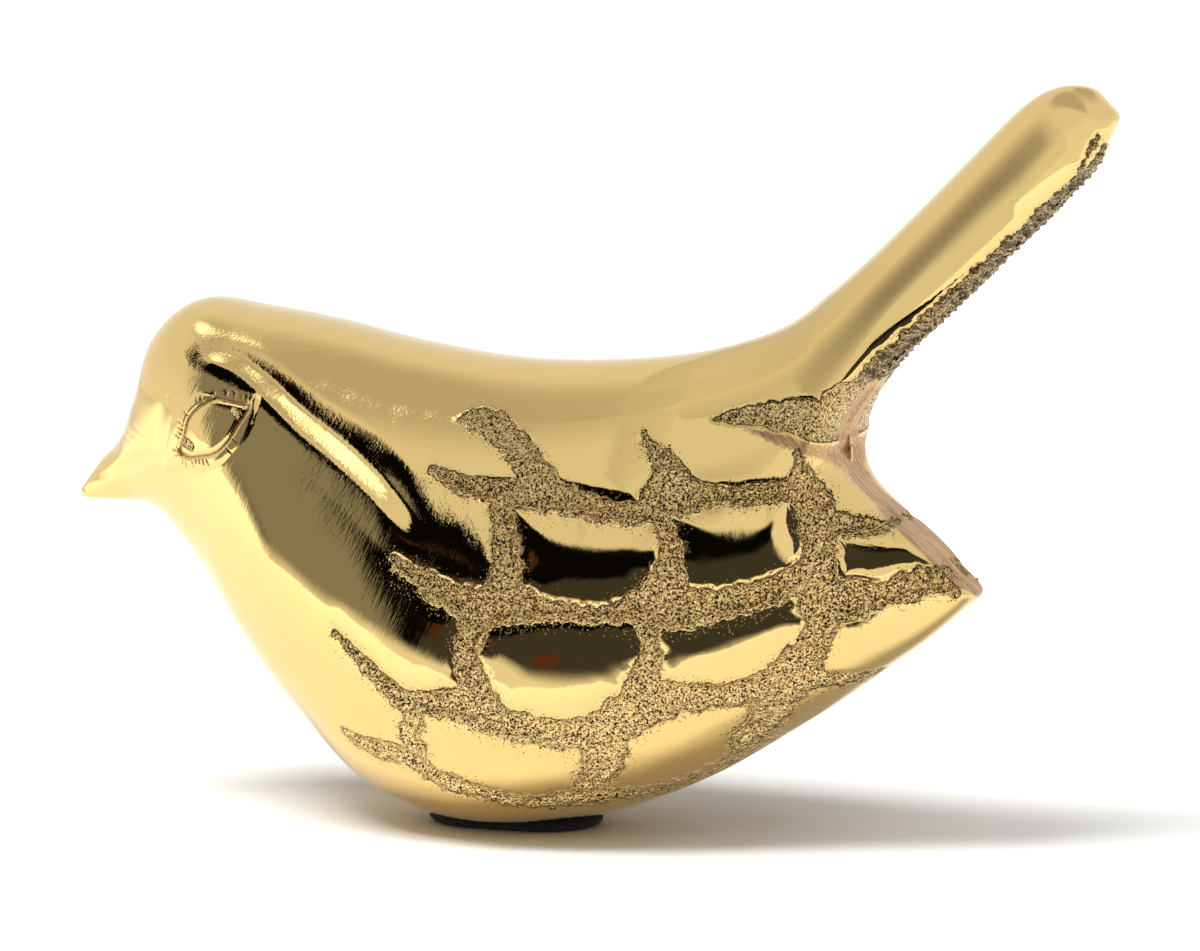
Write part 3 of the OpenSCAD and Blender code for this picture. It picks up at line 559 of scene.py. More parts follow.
def split(faces, m, points):
    """Splits each triangle by the new points m on its edges (-1 where an edge is kept)."""
    out = []
    count = (m >= 0).sum(1)
    out.append(faces[count == 0])
    full = count == 3
    f, e = faces[full], m[full]
    out += [np.column_stack(c) for c in ((f[:, 0], e[:, 0], e[:, 2]), (e[:, 0], f[:, 1], e[:, 1]),
                                         (e[:, 2], e[:, 1], f[:, 2]), (e[:, 0], e[:, 1], e[:, 2]))]
    for k in range(3):
        one = (count == 1) & (m[:, k] >= 0)
        f, e = faces[one], m[one]
        p, q, r = f[:, k], f[:, (k + 1) % 3], f[:, (k + 2) % 3]
        out += [np.column_stack([p, e[:, k], r]), np.column_stack([e[:, k], q, r])]
        two = (count == 2) & (m[:, k] < 0)
        f, e = faces[two], m[two]
        p, q, r = f[:, k], f[:, (k + 1) % 3], f[:, (k + 2) % 3]
        mq, mr = e[:, (k + 1) % 3], e[:, (k + 2) % 3]
        out.append(np.column_stack([mr, mq, r]))
        near = (np.linalg.norm(points[p] - points[mq], axis=1)
                < np.linalg.norm(points[q] - points[mr], axis=1))[:, None]
        out.append(np.where(near, np.column_stack([p, q, mq]), np.column_stack([p, q, mr])))
        out.append(np.where(near, np.column_stack([p, mq, mr]), np.column_stack([mr, q, mq])))
    return np.concatenate(out)


def welded(points, faces, *values):
    """Joins points that share a place and drops faces that have closed up."""
    key = np.round(points * WELD_CELLS).astype(np.int64)
    _, first, which = np.unique(key, axis=0, return_index=True, return_inverse=True)
    which = which.ravel()
    faces = which[faces]
    good = (faces[:, 0] != faces[:, 1]) & (faces[:, 1] != faces[:, 2]) & (faces[:, 2] != faces[:, 0])
    return (points[first], faces[good]) + tuple(v[first] for v in values)


def point_normals(points, faces):
    """Unit normals at the points, from the faces round them."""
    a, b, c = (points[faces[:, k]] for k in range(3))
    n = np.cross(b - a, c - a)
    total = np.zeros_like(points)
    for k in range(3):
        np.add.at(total, faces[:, k], n)
    return total / (np.linalg.norm(total, axis=1, keepdims=True) + 1e-12)


# ---------------------------------------------------------------- relief
def carve(sizes):
    """The fields that shape and colour the skin, over the side view."""
    channels = Field.distance(CHANNELS).waver(CHANNEL_WAVER)
    bands = Field.distance(TAIL_BANDS).waver(BAND_WAVER)
    wing, ledge = Field.area(WING), Field.area(LEDGE)
    rim, opening = Field.area(EYE_RIM), Field.area(EYE_OPENING)
    lines, fine = Field.distance(BEAK_LINES, 3.0), Field.distance(FINE_LINES, 3.0)
    marks = Field.distance(lid_marks(), 1.0)
    ridge = Field.distance([[(a, b, 0) for a, b, _ in NECK_RIDGE]], 16.0)
    lid_height = sizes.lid_height / MM

    fall = -np.gradient(channels.blurred(SLOPE_BLUR).v, Field.cell, axis=0)
    low = step(*LOW_SOFT, Field.z)[:, None] * LOW_SOFT_SHARE
    soft = Field(np.maximum(step(*SLOPE_SOFT, fall), low)).blurred(SOFT_BLUR)

    inside = step(*SWELL_EDGE, wing.v)
    across = np.clip(SCALE_HALF_W - channels.v, 0, SCALE_HALF_W)
    swell = -sizes.scale_swell / MM * (across / SCALE_HALF_W) ** 2
    height = Field(swell * (SWELL_OUTSIDE + (1 - SWELL_OUTSIDE) * inside))
    height.v -= sizes.edge_round / MM * np.clip(1 - channels.v / EDGE_W, 0, 1) ** 2
    height.v *= step(*SWELL_TOP, Field.z)[:, None]
    height = height.blurred(SWELL_BLUR)

    drop = -sizes.channel_drop / MM * step(*CHANNEL_WALL, channels.v)
    height.v += Field(drop - BAND_DEPTH * step(*BAND_WALL, bands.v)).blurred(WALL_BLUR).v
    height.v += lifted_edge(sizes).v

    lid = np.clip(rim.v / (rim.v - opening.v + 1e-6), 0, 1) * (rim.v < 0) * (opening.v > 0)
    ball = np.clip(-opening.v / BALL_REACH, 0, 1)
    eye = lid_height * np.sqrt(np.clip(1 - (1 - lid) ** 2, 0, 1)) * (opening.v > 0)
    eye += (lid_height * BALL_BASE + BALL_HEIGHT * np.sqrt(1 - (1 - ball) ** 2)) * (opening.v <= 0)
    eye -= LID_LINE_DEPTH * np.exp(-(opening.v / LID_LINE_W) ** 2)
    height.v += Field(eye).blurred(EYE_BLUR).v

    height.v -= (Field(BEAK_DEPTH * step(*BEAK_WALL, lines.v)).blurred(BEAK_BLUR).v
                 + FINE_DEPTH * step(*FINE_WALL, fine.v))
    height.v -= MARK_DEPTH * step(*MARK_WALL, marks.v)
    return {"height": height, "channels": channels, "soft": soft, "bands": bands, "ledge": ledge,
            "ridge": ridge, "rim": rim, "opening": opening, "marks": marks,
            "eye_grain": Field.distance(EYE_GRAIN, 2.0)}


def lifted_edge(sizes):
    """The edge that is lifted along the neck: a fall, a steep rise and a slow fall."""
    x, z, width = np.array(NECK_RIDGE).T
    line = curve(NECK_RIDGE)
    gap = Field.distance([[(a, b, 0) for a, b, _ in NECK_RIDGE]], 10.0)
    sign = np.sign(gap.z[:, None] - np.interp(gap.x, line[:, 0], line[:, 1])[None, :])
    wide = np.interp(gap.x, x, width)[None, :]
    u = gap.v * sign / wide
    steep = np.interp(gap.x, *FALL_STEEPNESS)[None, :]
    u = np.where(u > FALL_START, FALL_START + (u - FALL_START) * steep, u)
    lift = np.interp(u, EDGE_PLACES, EDGE_HEIGHTS) * wide * sizes.ridge_height / MM
    ends = step(x[0], x[0] + RIDGE_ENDS[0], gap.x) * step(x[-1], x[-1] - RIDGE_ENDS[1], gap.x)
    return Field(lift * ends[None, :]).blurred(RIDGE_BLUR)


def lid_marks():
    """Short cuts across the eyelids, as lines of [x, z, half width]."""
    ring = curve(EYE_OPENING, closed=True, steps=4)
    after, before = np.roll(ring, -1, axis=0), np.roll(ring, 1, axis=0)
    out = np.column_stack([before[:, 1] - after[:, 1], after[:, 0] - before[:, 0]])
    out /= np.linalg.norm(out, axis=1, keepdims=True)
    if ((ring - ring.mean(0)) * out).sum() < 0:
        out = -out
    cells = np.column_stack([np.arange(len(ring)), np.zeros((len(ring), 2))]).astype(int)
    pick, reach = (lattice(cells, seed) for seed in MARK_SEEDS)
    starts, ends = (ring + out * (near + spread * reach[:, None]) for near, spread in (MARK_START, MARK_END))
    return [[(*a, MARK_HALF_W[0]), (*b, MARK_HALF_W[1])]
            for a, b, p in zip(starts, ends, pick) if p > MARK_BARE]


def face_size(fields, sizes):
    """A function that gives the wanted length of the edges at points."""
    fine, coarse = sizes.fine_face / MM, sizes.smooth_face / MM

    def wanted(points):
        near = np.minimum(fields["channels"].at(points), fields["bands"].at(points))
        near = np.minimum(near, fields["rim"].at(points) + RIM_GAP)
        near = np.where(points[:, 0] < HEAD_X, np.minimum(near, HEAD_GAP), near)
        far = np.maximum(fields["ridge"].at(points) - RIDGE_NEAR, 0)
        near = np.minimum(near, HEAD_GAP + RIDGE_GROWTH * far)
        eye = step(*EYE_REACH, fields["rim"].at(points))
        return (fine + (coarse - fine) * step(*GROWTH, near)) * (1 - EYE_SHARE * eye)
    return wanted


def relaxed(points, faces, weight):
    """Evens out the points by their weight; those on the mid-plane stay on it."""
    points, n = points.copy(), len(points)
    edges = np.sort(np.vstack([faces[:, [0, 1]], faces[:, [1, 2]], faces[:, [2, 0]]]), axis=1)
    edges = np.unique(edges, axis=0)
    a, b = edges[(weight[edges] > 0).any(1)].T
    count = np.bincount(a, minlength=n) + np.bincount(b, minlength=n)
    use = (weight > 0) & (count > 0)
    flat = points[:, 1] < ZERO_Y
    for _ in range(EVEN_ROUNDS):
        mean = np.stack([np.bincount(a, points[b, k], n) + np.bincount(b, points[a, k], n)
                         for k in range(3)], 1)[use] / count[use, None]
        points[use] += (mean - points[use]) * weight[use, None] * EVEN_SHARE
        points[flat, 1] = 0
    return points


def near_place(x, y, z, place):
    """A mask that is 1 near a place of the side view, off the mid-plane."""
    return step(*place[2], np.hypot(x - place[0], z - place[1])) * step(*place[3], y)


def evened_skin(loop, s, points, faces):
    """The skin with its fork, the tip of its tail and its brow evened out."""
    x, y, z = points.T
    rows = (len(BODY_RIB_SHARES) - 1) * ROWS_PER_RIB
    seam = np.minimum(np.abs(s - rows), np.abs(s - (len(loop) - ROWS_PER_RIB - rows)))
    seam = step(ROWS_PER_RIB, ROWS_PER_RIB / 3, seam) * SEAM_WEIGHT * step(*FORK_PLACE[3], y)
    spots = [near_place(x, y, z, place) * place[4] for place in (FORK_PLACE, TIP_PLACE, BROW_PLACE)]
    return relaxed(points, faces, np.maximum.reduce([seam] + spots))


def shaped_skin(sizes):
    """One half of the skin on the +Y side: points in mm, faces and named masks."""
    loop = skin_loop(sizes)
    fields = carve(sizes)
    s, t, points, faces = refine(loop, face_size(fields, sizes))
    points, faces, s, t = welded(points, faces, s, t)
    if (point_normals(points, faces)[:, 1] * np.abs(points[:, 1])).sum() < 0:
        faces = faces[:, ::-1]
    x, _, z = points.T
    on_strip = (loop[np.floor(s).astype(int) % len(loop), 5] > 1) & (t <= 0)
    points = evened_skin(loop, s, points, faces)
    normals = point_normals(points, faces)
    smooth_points = points.copy()
    side = step(*SIDE_EDGE, points[:, 1])
    value = {key: field.at(points) for key, field in fields.items()}

    rough = step(ROUGH_EDGE[0] + SOFT_SPREAD * value["soft"], ROUGH_EDGE[1], value["channels"]) * side
    rough = np.maximum(rough, step(*GRAIN_EDGE, value["eye_grain"]) * side)
    band = step(*BAND_EDGE, value["bands"]) * side
    tail = step(*TAIL_X, x) * step(*TAIL_Z, z)
    band = np.maximum(band * ~on_strip, tail * on_strip)
    ledge = step(*LEDGE_EDGE, value["ledge"]) * (1 - band)
    lid = np.exp(-(value["opening"] / LID_W) ** 2)
    masks = {
        "rough": rough,
        "band": band,
        "ground": np.maximum(on_strip * (1 - tail), ledge),
        "rim": np.exp(-(value["channels"] / RIM_W) ** 2) * side,
        "lid": np.maximum(lid, step(*MARK_EDGE, value["marks"])) * side,
        "brushed": step(*BRUSHED_EDGE, value["ridge"]) * side,
        "teeth": tail * band,
    }

    cast = np.clip(np.maximum(rough, band) * CAST_GAIN - CAST_START, 0, 1)
    height = value["height"] * side
    height += sizes.grain_height / MM * noise_mix(points, CAST_GRAIN) * cast
    along = x * TAIL_ALONG[0] + z * TAIL_ALONG[1] + noise_mix(points, [NOTCH_WAVER])
    notch = np.abs(np.sin(along * math.pi / NOTCH_PITCH)) ** NOTCH_POWER
    height -= sizes.notch_drop / MM * notch * tail * np.clip(band * NOTCH_GAIN, 0, 1)
    points = points + normals * height[:, None]
    points[smooth_points[:, 1] < ZERO_Y, 1] = 0
    points[:, 1] = np.maximum(points[:, 1], 0)
    return points, faces, masks, smooth_points


# ---------------------------------------------------------------- meshes
def mesh_object(name, points, faces, materials, masks=None, indices=None):
    """A mesh object from points in metres, faces of one size and named masks."""
    mesh = bpy.data.meshes.new(name)
    mesh.vertices.add(len(points))
    mesh.vertices.foreach_set("co", np.asarray(points, np.float32).ravel())
    mesh.loops.add(faces.size)
    mesh.loops.foreach_set("vertex_index", faces.astype(np.int32).ravel())
    mesh.polygons.add(len(faces))
    mesh.polygons.foreach_set("loop_start", np.arange(0, faces.size, faces.shape[1], dtype=np.int32))
    if indices is not None:
        mesh.polygons.foreach_set("material_index", indices.astype(np.int32))
    mesh.polygons.foreach_set("use_smooth", np.ones(len(faces), bool))
    mesh.update(calc_edges=True)
    mesh.validate()
    for key, values in (masks or {}).items():
        layer = mesh.attributes.new(key, "FLOAT", "POINT")
        layer.data.foreach_set("value", np.asarray(values, np.float32))
    for material in materials:
        mesh.materials.append(material)
    piece = bpy.data.objects.new(name, mesh)
    bpy.context.collection.objects.link(piece)
    return piece


def inner_faces(node, smooth_points, faces, side):
    """Points (mm) and faces of the CAD half that lie inside its outer skin."""
    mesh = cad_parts[node].data
    mesh.calc_loop_triangles()
    points = np.empty(len(mesh.vertices) * 3, np.float32)
    mesh.vertices.foreach_get("co", points)
    points = points.reshape(-1, 3).astype(float) / MM
    tris = np.empty(len(mesh.loop_triangles) * 3, np.int32)
    mesh.loop_triangles.foreach_get("vertices", tris)
    tris = tris.reshape(-1, 3)
    tree = BVHTree.FromPolygons((smooth_points * (1, side, 1)).tolist(), faces.tolist())

    def is_inner(a, b, c):
        deep = max(abs(a[1]), abs(b[1]), abs(c[1]))
        centre = (a + b + c) / 3
        in_vent = math.hypot(centre[0], centre[1]) < VENT_RADIUS and centre[2] < VENT_TOP
        if deep < ON_PLANE or in_vent:
            return True
        normal = Vector(np.cross(b - a, c - a)).normalized()
        _, out, _, gap = tree.find_nearest(Vector(centre))
        if deep < LIP_DEEP:
            return gap > LIP_GAP
        return gap > WALL_GAP or gap > SLANT_GAP and normal.dot(out) * side < SLANT

    kept = np.array([tri for tri in tris if is_inner(*points[tri])])
    for k in np.unique(kept):
        if abs(points[k, 1]) < ON_PLANE:
            _, out, _, gap = tree.find_nearest(Vector(points[k]))
            if gap < EDGE_GAP:
                inward = -np.array([out.x, 0.0, out.z]) * side
                points[k] += inward / (np.linalg.norm(inward) + 1e-9) * EDGE_GAP
    return points, kept


def cast_half(name, node, side, skin, materials):
    """One cast half: the shaped skin outside, the faces of the CAD half inside."""
    points, faces, masks, smooth_points = skin
    outer = points * (1, side, 1)
    outer_faces = faces if side > 0 else faces[:, ::-1]
    inside, kept = inner_faces(node, smooth_points, faces, side)
    indices = np.concatenate([np.zeros(len(outer_faces)), np.ones(len(kept))])
    masks = {k: np.concatenate([v, np.zeros(len(inside))]) for k, v in masks.items()}
    return mesh_object(name, np.vstack([outer, inside]) * MM,
                       np.vstack([outer_faces, kept + len(outer)]), materials, masks, indices)


def pad_mesh(name, length, width, thickness, materials):
    """A felt pad with round ends, a soft edge and a flat bottom and top."""
    radius = width / 2
    turn = np.arange(PAD_AROUND) / PAD_AROUND * 2 * math.pi
    out = np.column_stack([np.cos(turn), np.sin(turn)])
    centre = np.column_stack([np.clip(out[:, 0] * 1e3, -1, 1) * (length - width) / 2, np.zeros(PAD_AROUND)])
    edge = np.linspace(-math.pi / 2, math.pi / 2, PAD_EDGE_RINGS)
    profile = [(f, 0.0) for f in PAD_FLATS]
    profile += [(1 - PAD_ROUND / radius * (1 - math.cos(a)), thickness / 2 * (1 + math.sin(a))) for a in edge]
    profile += [(f, thickness) for f in PAD_FLATS[::-1]]
    points = np.concatenate([np.column_stack([centre + out * radius * f, np.full(PAD_AROUND, z)])
                             for f, z in profile])
    first, last = len(PAD_FLATS), len(PAD_FLATS) + PAD_EDGE_RINGS
    on_edge = np.repeat([float(first <= k < last) for k in range(len(profile))], PAD_AROUND)
    away = np.column_stack([np.tile(out, (len(profile), 1)), np.zeros(len(points))])
    points = points + away * ((noise_mix(points, PAD_FUZZ) - PAD_SHRINK) * on_edge)[:, None]
    ring, place = np.divmod(np.arange((len(profile) - 1) * PAD_AROUND), PAD_AROUND)
    a, b = ring * PAD_AROUND + place, ring * PAD_AROUND + (place + 1) % PAD_AROUND
    c, d = b + PAD_AROUND, a + PAD_AROUND
    faces = np.stack([np.column_stack([a, c, b]), np.column_stack([a, d, c])], 1).reshape(-1, 3)
    points, faces = welded(points, faces)
    return mesh_object(name, points * MM, faces, materials)


# ---------------------------------------------------------------- shader parts
class Nodes:
    """Short calls for building a node tree."""

    def __init__(self, tree):
        self.tree = tree

    def new(self, kind, **settings):
        node = self.tree.nodes.new(kind)
        for key, value in settings.items():
            setattr(node, key, value)
        return node

    def feed(self, socket, value):
        if isinstance(value, bpy.types.NodeSocket):
            self.tree.links.new(value, socket)
        elif isinstance(value, (tuple, list)) and len(socket.default_value) == 4 and len(value) == 3:
            socket.default_value = (*value, 1)
        else:
            socket.default_value = value

    def math(self, operation, a, b=0.0):
        node = self.new("ShaderNodeMath", operation=operation)
        self.feed(node.inputs[0], a)
        self.feed(node.inputs[1], b)
        return node.outputs[0]

    def times(self, a, b):
        return self.math("MULTIPLY", a, b)

    def plus(self, a, b):
        return self.math("ADD", a, b)

    def less(self, a, b):
        return self.math("SUBTRACT", a, b)

    def ramp(self, value, low, high, out_low=0.0, out_high=1.0, kind="SMOOTHSTEP"):
        node = self.new("ShaderNodeMapRange", interpolation_type=kind)
        for k, v in enumerate((value, low, high, out_low, out_high)):
            self.feed(node.inputs[k], v)
        return node.outputs[0]

    def mix(self, factor, a, b):
        node = self.new("ShaderNodeMix", data_type="RGBA")
        self.feed(node.inputs[0], factor)
        self.feed(node.inputs[6], a)
        self.feed(node.inputs[7], b)
        return node.outputs[2]

    def attribute(self, name):
        return self.new("ShaderNodeAttribute", attribute_name=name).outputs["Fac"]

    def noise(self, vector, scale, detail=2.0, rough=0.5):
        node = self.new("ShaderNodeTexNoise")
        self.feed(node.inputs["Vector"], vector)
        self.feed(node.inputs["Scale"], scale)
        self.feed(node.inputs["Detail"], detail)
        self.feed(node.inputs["Roughness"], rough)
        return node.outputs["Fac"]

    def voronoi(self, vector, scale):
        node = self.new("ShaderNodeTexVoronoi", feature="F1")
        self.feed(node.inputs["Vector"], vector)
        self.feed(node.inputs["Scale"], scale)
        return node.outputs["Distance"]

    def place(self, vector, stretch, turn=0.0):
        """Coordinates stretched along the axes after a turn about Y."""
        node = self.new("ShaderNodeMapping", vector_type="TEXTURE")
        self.feed(node.inputs["Vector"], vector)
        node.inputs["Scale"].default_value = stretch
        node.inputs["Rotation"].default_value = (0, turn, 0)
        return node.outputs[0]

    def bump(self, height, distance, normal=None):
        node = self.new("ShaderNodeBump")
        self.feed(node.inputs["Height"], height)
        node.inputs["Distance"].default_value = distance
        node.inputs["Strength"].default_value = 1.0
        if normal is not None:
            self.feed(node.inputs["Normal"], normal)
        return node.outputs[0]


def node_group(name, inputs, outputs, build):
    """A node group with named sockets, built once."""
    tree = bpy.data.node_groups.get(name)
    if tree:
        return tree
    tree = bpy.data.node_groups.new(name, "ShaderNodeTree")
    for label, kind, value in inputs:
        socket = tree.interface.new_socket(name=label, in_out="INPUT", socket_type=kind)
        if value is not None:
            socket.default_value = value
    for label, kind in outputs:
        tree.interface.new_socket(name=label, in_out="OUTPUT", socket_type=kind)
    n = Nodes(tree)
    into = n.new("NodeGroupInput")
    out = n.new("NodeGroupOutput")
    for label, value in build(n, into.outputs).items():
        n.feed(out.inputs[label], value)
    return tree


def use_group(n, tree, **values):
    """The outputs of a node group that is fed with values."""
    node = n.new("ShaderNodeGroup", node_tree=tree)
    for key, value in values.items():
        n.feed(node.inputs[key], value)
    return node.outputs


VECTOR, FLOAT = "NodeSocketVector", "NodeSocketFloat"
# Cast grain: scales and shares of its pits and its fine noise, then where pits and tips start; the tips get a
# painted glint
COARSE_SHARE, PIT_CELLS, FINE_NOISE = 0.55, (1.25, 0.35), (2.7, 0.25)
PITS_AT, GLINT_TIPS_AT = (0.47, 0.53, 1.0, 0.0), (0.52, 0.6)
# Brush marks: scale and strength of their patches, then where streaks start
MARK_PATCHES, PATCH_STRENGTH, STREAKS_AT = 0.12, (0.35, 0.7, 0.4, 1.0), (0.4, 0.6)


def cast_grain():
    """Sand-cast grain: a height, and masks that are 1 down in the pits and up on the tips."""
    def build(n, i):
        coarse = n.noise(i["Vector"], i["Scale"], 1.0)
        pits = n.voronoi(i["Vector"], n.times(i["Scale"], PIT_CELLS[0]))
        fine = n.noise(i["Vector"], n.times(i["Scale"], FINE_NOISE[0]), 2.0)
        height = n.plus(n.times(coarse, COARSE_SHARE), n.times(fine, FINE_NOISE[1]))
        height = n.plus(height, n.times(pits, PIT_CELLS[1]))
        return {"Height": height, "Pits": n.ramp(height, *PITS_AT), "Glint_tips": n.ramp(height, *GLINT_TIPS_AT)}
    return node_group("Cast grain", [("Vector", VECTOR, None), ("Scale", FLOAT, 1500.0)],
                      [("Height", FLOAT), ("Pits", FLOAT), ("Glint_tips", FLOAT)], build)


def brush_marks():
    """Fine parallel marks of polishing or filing along one direction."""
    def build(n, i):
        fine = n.noise(i["Vector"], i["Scale"], 3.0, 0.65)
        patch = n.noise(i["Vector"], n.times(i["Scale"], MARK_PATCHES), 2.0)
        height = n.times(n.less(fine, 0.5), n.ramp(patch, *PATCH_STRENGTH))
        return {"Height": height, "Streaks": n.ramp(fine, *STREAKS_AT)}
    return node_group("Brush marks", [("Vector", VECTOR, None), ("Scale", FLOAT, 100.0)],
                      [("Height", FLOAT), ("Streaks", FLOAT)], build)


def new_material(name):
    """A material with its node calls, its shader and the place on the piece, in metres."""
    material = bpy.data.materials.new(name)
    material.use_nodes = True
    n = Nodes(material.node_tree)
    shader = material.node_tree.nodes["Principled BSDF"]
    where = n.new("ShaderNodeTexCoord").outputs["Object"]
    return material, n, shader, where


# Marks along one direction: [stretch, turn about Y, scale, bump depth in metres]
HAIR = ((1, 1, 16), 0.4, 2500.0, 0.00006)
FILED = ((1, 1, 14), -0.8, 3600.0, 0.00012)
TEETH = ((6, 6, 1), 0.582, 1500.0, 0.0008)
# Cast grain: [scale, bump depth]
GRAIN, LUMPS = (3300.0, 0.00028), (1100.0, 0.0016)
# The edge of the cast metal: noise that breaks it up, and where the metal starts
PATCH_SCALE, PATCH_SIZE, PATCH_FADE, CAST_LEVEL = 900.0, 0.9, (0.02, 0.3), (0.62, 0.9)
# Dark pits: how many by how cast the metal is, and where they start and fade out
PIT_RANGE, PIT_SPREAD, PIT_START, PIT_LEVEL, PIT_FADE = (0.02, 0.95), 0.15, 0.11, (0.5, 0.45), (0.01, 0.1)
# Heights in metres: below the first the cast metal is worn pale, above the second it is paler
WORN_HEIGHT, WORN_WAVER, WORN = (0.03, 0.014), 0.008, 0.75
PALER_TOP_HEIGHT, PALER_TOP = (0.041, 0.047), 0.6
STAIN_SCALE, STAINED = 300.0, (0.52, 0.68, 0.0, 0.7)
# Shares of the mixed-in colours, and how much darker or paler each is than its own
HOLLOWS, HOLLOW_SHADE, WORN_SHADE, PALER_TOP_SHADE, FILED_SHADE = 0.7, 0.2, 0.62, 0.9, 0.6
RIM_SHARE, CUT_SHARE, CUT_STREAKS, LID_SHARE = 0.25, 0.85, (0.35, 0.65, 1.0, 0.35), 0.85
WORN_SMOOTH = 0.8
POLISHED_ROUGHNESS, CAST_ROUGHNESS, GROUND_ROUGHNESS = 0.045, 0.17, 0.33
HAIR_SCALE, HAIR_WEIGHT, BRUSHED_WEIGHT = 140.0, (0.42, 0.62, 0.04, 0.22), 0.7
# The plainer materials: scales of their noise, then depths of their bumps in metres
INSIDE_SCALE, FIBRE_SCALE, TUFT_SCALE, SWIRL_SCALE = 1200.0, 3500.0, 700.0, 500.0
INSIDE_BUMP, FELT_BUMP, SWIRL_BUMP = 0.0002, 0.00025, 0.00005
# Their roughness, how much the pits or paler fibres differ, and the strength of tufts
INSIDE_ROUGHNESS, BRAZE_ROUGHNESS, PIT_ROUGHNESS, PIT_SPAN, BRAZE_PITS = 0.4, 0.3, 0.15, (0.3, 0.8), 0.35
TUFT_SHARE, FELT_PALE, FELT_PALE_SHADE, FELT_SHEEN = 0.6, (0.6, 1.0), 2, 0.05
FELT_ROUGHNESS, ADHESIVE_ROUGHNESS, SWIRL_SHADE = (0.3, 0.7, 0.85, 1.0), (0.3, 0.7, 0.35, 0.6), 0.7


def shade(colour, share):
    """A colour made darker or lighter, never past white."""
    return [min(1, c * share) for c in colour]


def cast_colour_nodes(n, where, colours, grain, lumps, teeth, toothed):
    """The colour of the cast metal with painted glints on the tips of its grain, and how worn it is."""
    stain = n.ramp(n.noise(where, STAIN_SCALE, 3.0), *STAINED)
    place = n.new("ShaderNodeSeparateXYZ")
    n.feed(place.inputs[0], where)
    height = place.outputs[2]
    worn = n.ramp(n.plus(height, n.times(stain, WORN_WAVER)), *WORN_HEIGHT, 0.0, WORN)
    paler_top = n.times(n.ramp(height, *PALER_TOP_HEIGHT, 0.0, PALER_TOP), n.less(1.0, toothed))
    colour = n.mix(stain, colours.cast_mid[:], colours.cast_grey[:])
    colour = n.mix(n.times(lumps["Pits"], HOLLOWS), colour, shade(colours.cast_mid, HOLLOW_SHADE))
    colour = n.mix(worn, colour, shade(colours.cast_pale_and_glint, WORN_SHADE))
    # Paler towards the top of the bird, by height alone
    colour = n.mix(paler_top, colour, shade(colours.cast_pale_and_glint, PALER_TOP_SHADE))
    # Painted glints: the tips of the grain take the palest colour
    colour = n.mix(grain["Glint_tips"], colour, colours.cast_pale_and_glint[:])
    cut = n.times(toothed, n.ramp(teeth["Streaks"], *CUT_STREAKS))
    return n.mix(n.times(cut, CUT_SHARE), colour, colours.cast_dark[:]), worn


def polished_material(colours):
    """Polished metal with cast channels, a filed strip, brushed hairs and toothed cut."""
    material, n, shader, where = new_material("cast_brass")
    rough, band, ground, rim, lid, brushed, toothed = (
        n.attribute(k) for k in ("rough", "band", "ground", "rim", "lid", "brushed", "teeth"))
    grain, lumps = (use_group(n, cast_grain(), Vector=where, Scale=kind[0]) for kind in (GRAIN, LUMPS))
    hair, filed, teeth = (
        use_group(n, brush_marks(), Vector=n.place(where, stretch, turn), Scale=scale)
        for stretch, turn, scale, _ in (HAIR, FILED, TEETH))
    cast = n.math("MAXIMUM", rough, band)
    patch = n.times(n.less(n.noise(where, PATCH_SCALE, 3.0, 0.6), 0.5), PATCH_SIZE)
    level = n.plus(cast, n.times(patch, n.ramp(cast, *PATCH_FADE)))
    cast_mask = n.ramp(level, *CAST_LEVEL)
    pits = n.less(n.times(n.ramp(level, *PIT_RANGE, 0.0, 1.0, "LINEAR"), PIT_SPREAD), PIT_START)
    pits = n.times(n.ramp(n.less(grain["Height"], pits), *PIT_LEVEL), n.ramp(cast, *PIT_FADE))

    polished = n.mix(n.times(rim, RIM_SHARE), colours.polished[:], colours.ground[:])
    cast_colour, worn = cast_colour_nodes(n, where, colours, grain, lumps, teeth, toothed)
    ground_colour = n.mix(filed["Streaks"], colours.ground[:], shade(colours.ground, FILED_SHADE))
    colour = n.mix(cast_mask, polished, cast_colour)
    colour = n.mix(n.times(ground, n.less(1.0, cast_mask)), colour, ground_colour)
    colour = n.mix(pits, colour, colours.cast_dark[:])
    colour = n.mix(n.times(lid, LID_SHARE), colour, colours.lid_line[:])
    roughness = n.plus(POLISHED_ROUGHNESS, n.times(cast_mask, CAST_ROUGHNESS))
    roughness = n.plus(roughness, n.times(ground, GROUND_ROUGHNESS))

    coarse = n.times(cast_mask, n.less(1.0, n.times(worn, WORN_SMOOTH)))
    weight = n.ramp(n.noise(where, HAIR_SCALE, 2.0), *HAIR_WEIGHT)
    weight = n.times(n.plus(weight, n.times(brushed, BRUSHED_WEIGHT)), n.less(1.0, ground))
    normal = None
    for height, mask, depth in ((lumps["Height"], coarse, LUMPS[-1]),
                                (grain["Height"], n.math("MAXIMUM", cast_mask, pits), GRAIN[-1]),
                                (teeth["Height"], toothed, TEETH[-1]),
                                (filed["Height"], ground, FILED[-1]),
                                (hair["Height"], weight, HAIR[-1])):
        normal = n.bump(n.times(height, mask), depth, normal)
    n.feed(shader.inputs["Base Color"], colour)
    n.feed(shader.inputs["Roughness"], roughness)
    shader.inputs["Metallic"].default_value = 1.0
    n.feed(shader.inputs["Normal"], normal)
    return material


def plain_cast_material(name, colour, dark, roughness):
    """Plain cast metal, for the inside and the braze."""
    material, n, shader, where = new_material(name)
    grain = use_group(n, cast_grain(), Vector=where, Scale=INSIDE_SCALE)
    n.feed(shader.inputs["Base Color"], n.mix(grain["Pits"], colour, dark))
    rougher = n.ramp(grain["Height"], *PIT_SPAN, roughness + PIT_ROUGHNESS, roughness)
    n.feed(shader.inputs["Roughness"], rougher)
    shader.inputs["Metallic"].default_value = 1.0
    n.feed(shader.inputs["Normal"], n.bump(grain["Height"], INSIDE_BUMP))
    return material


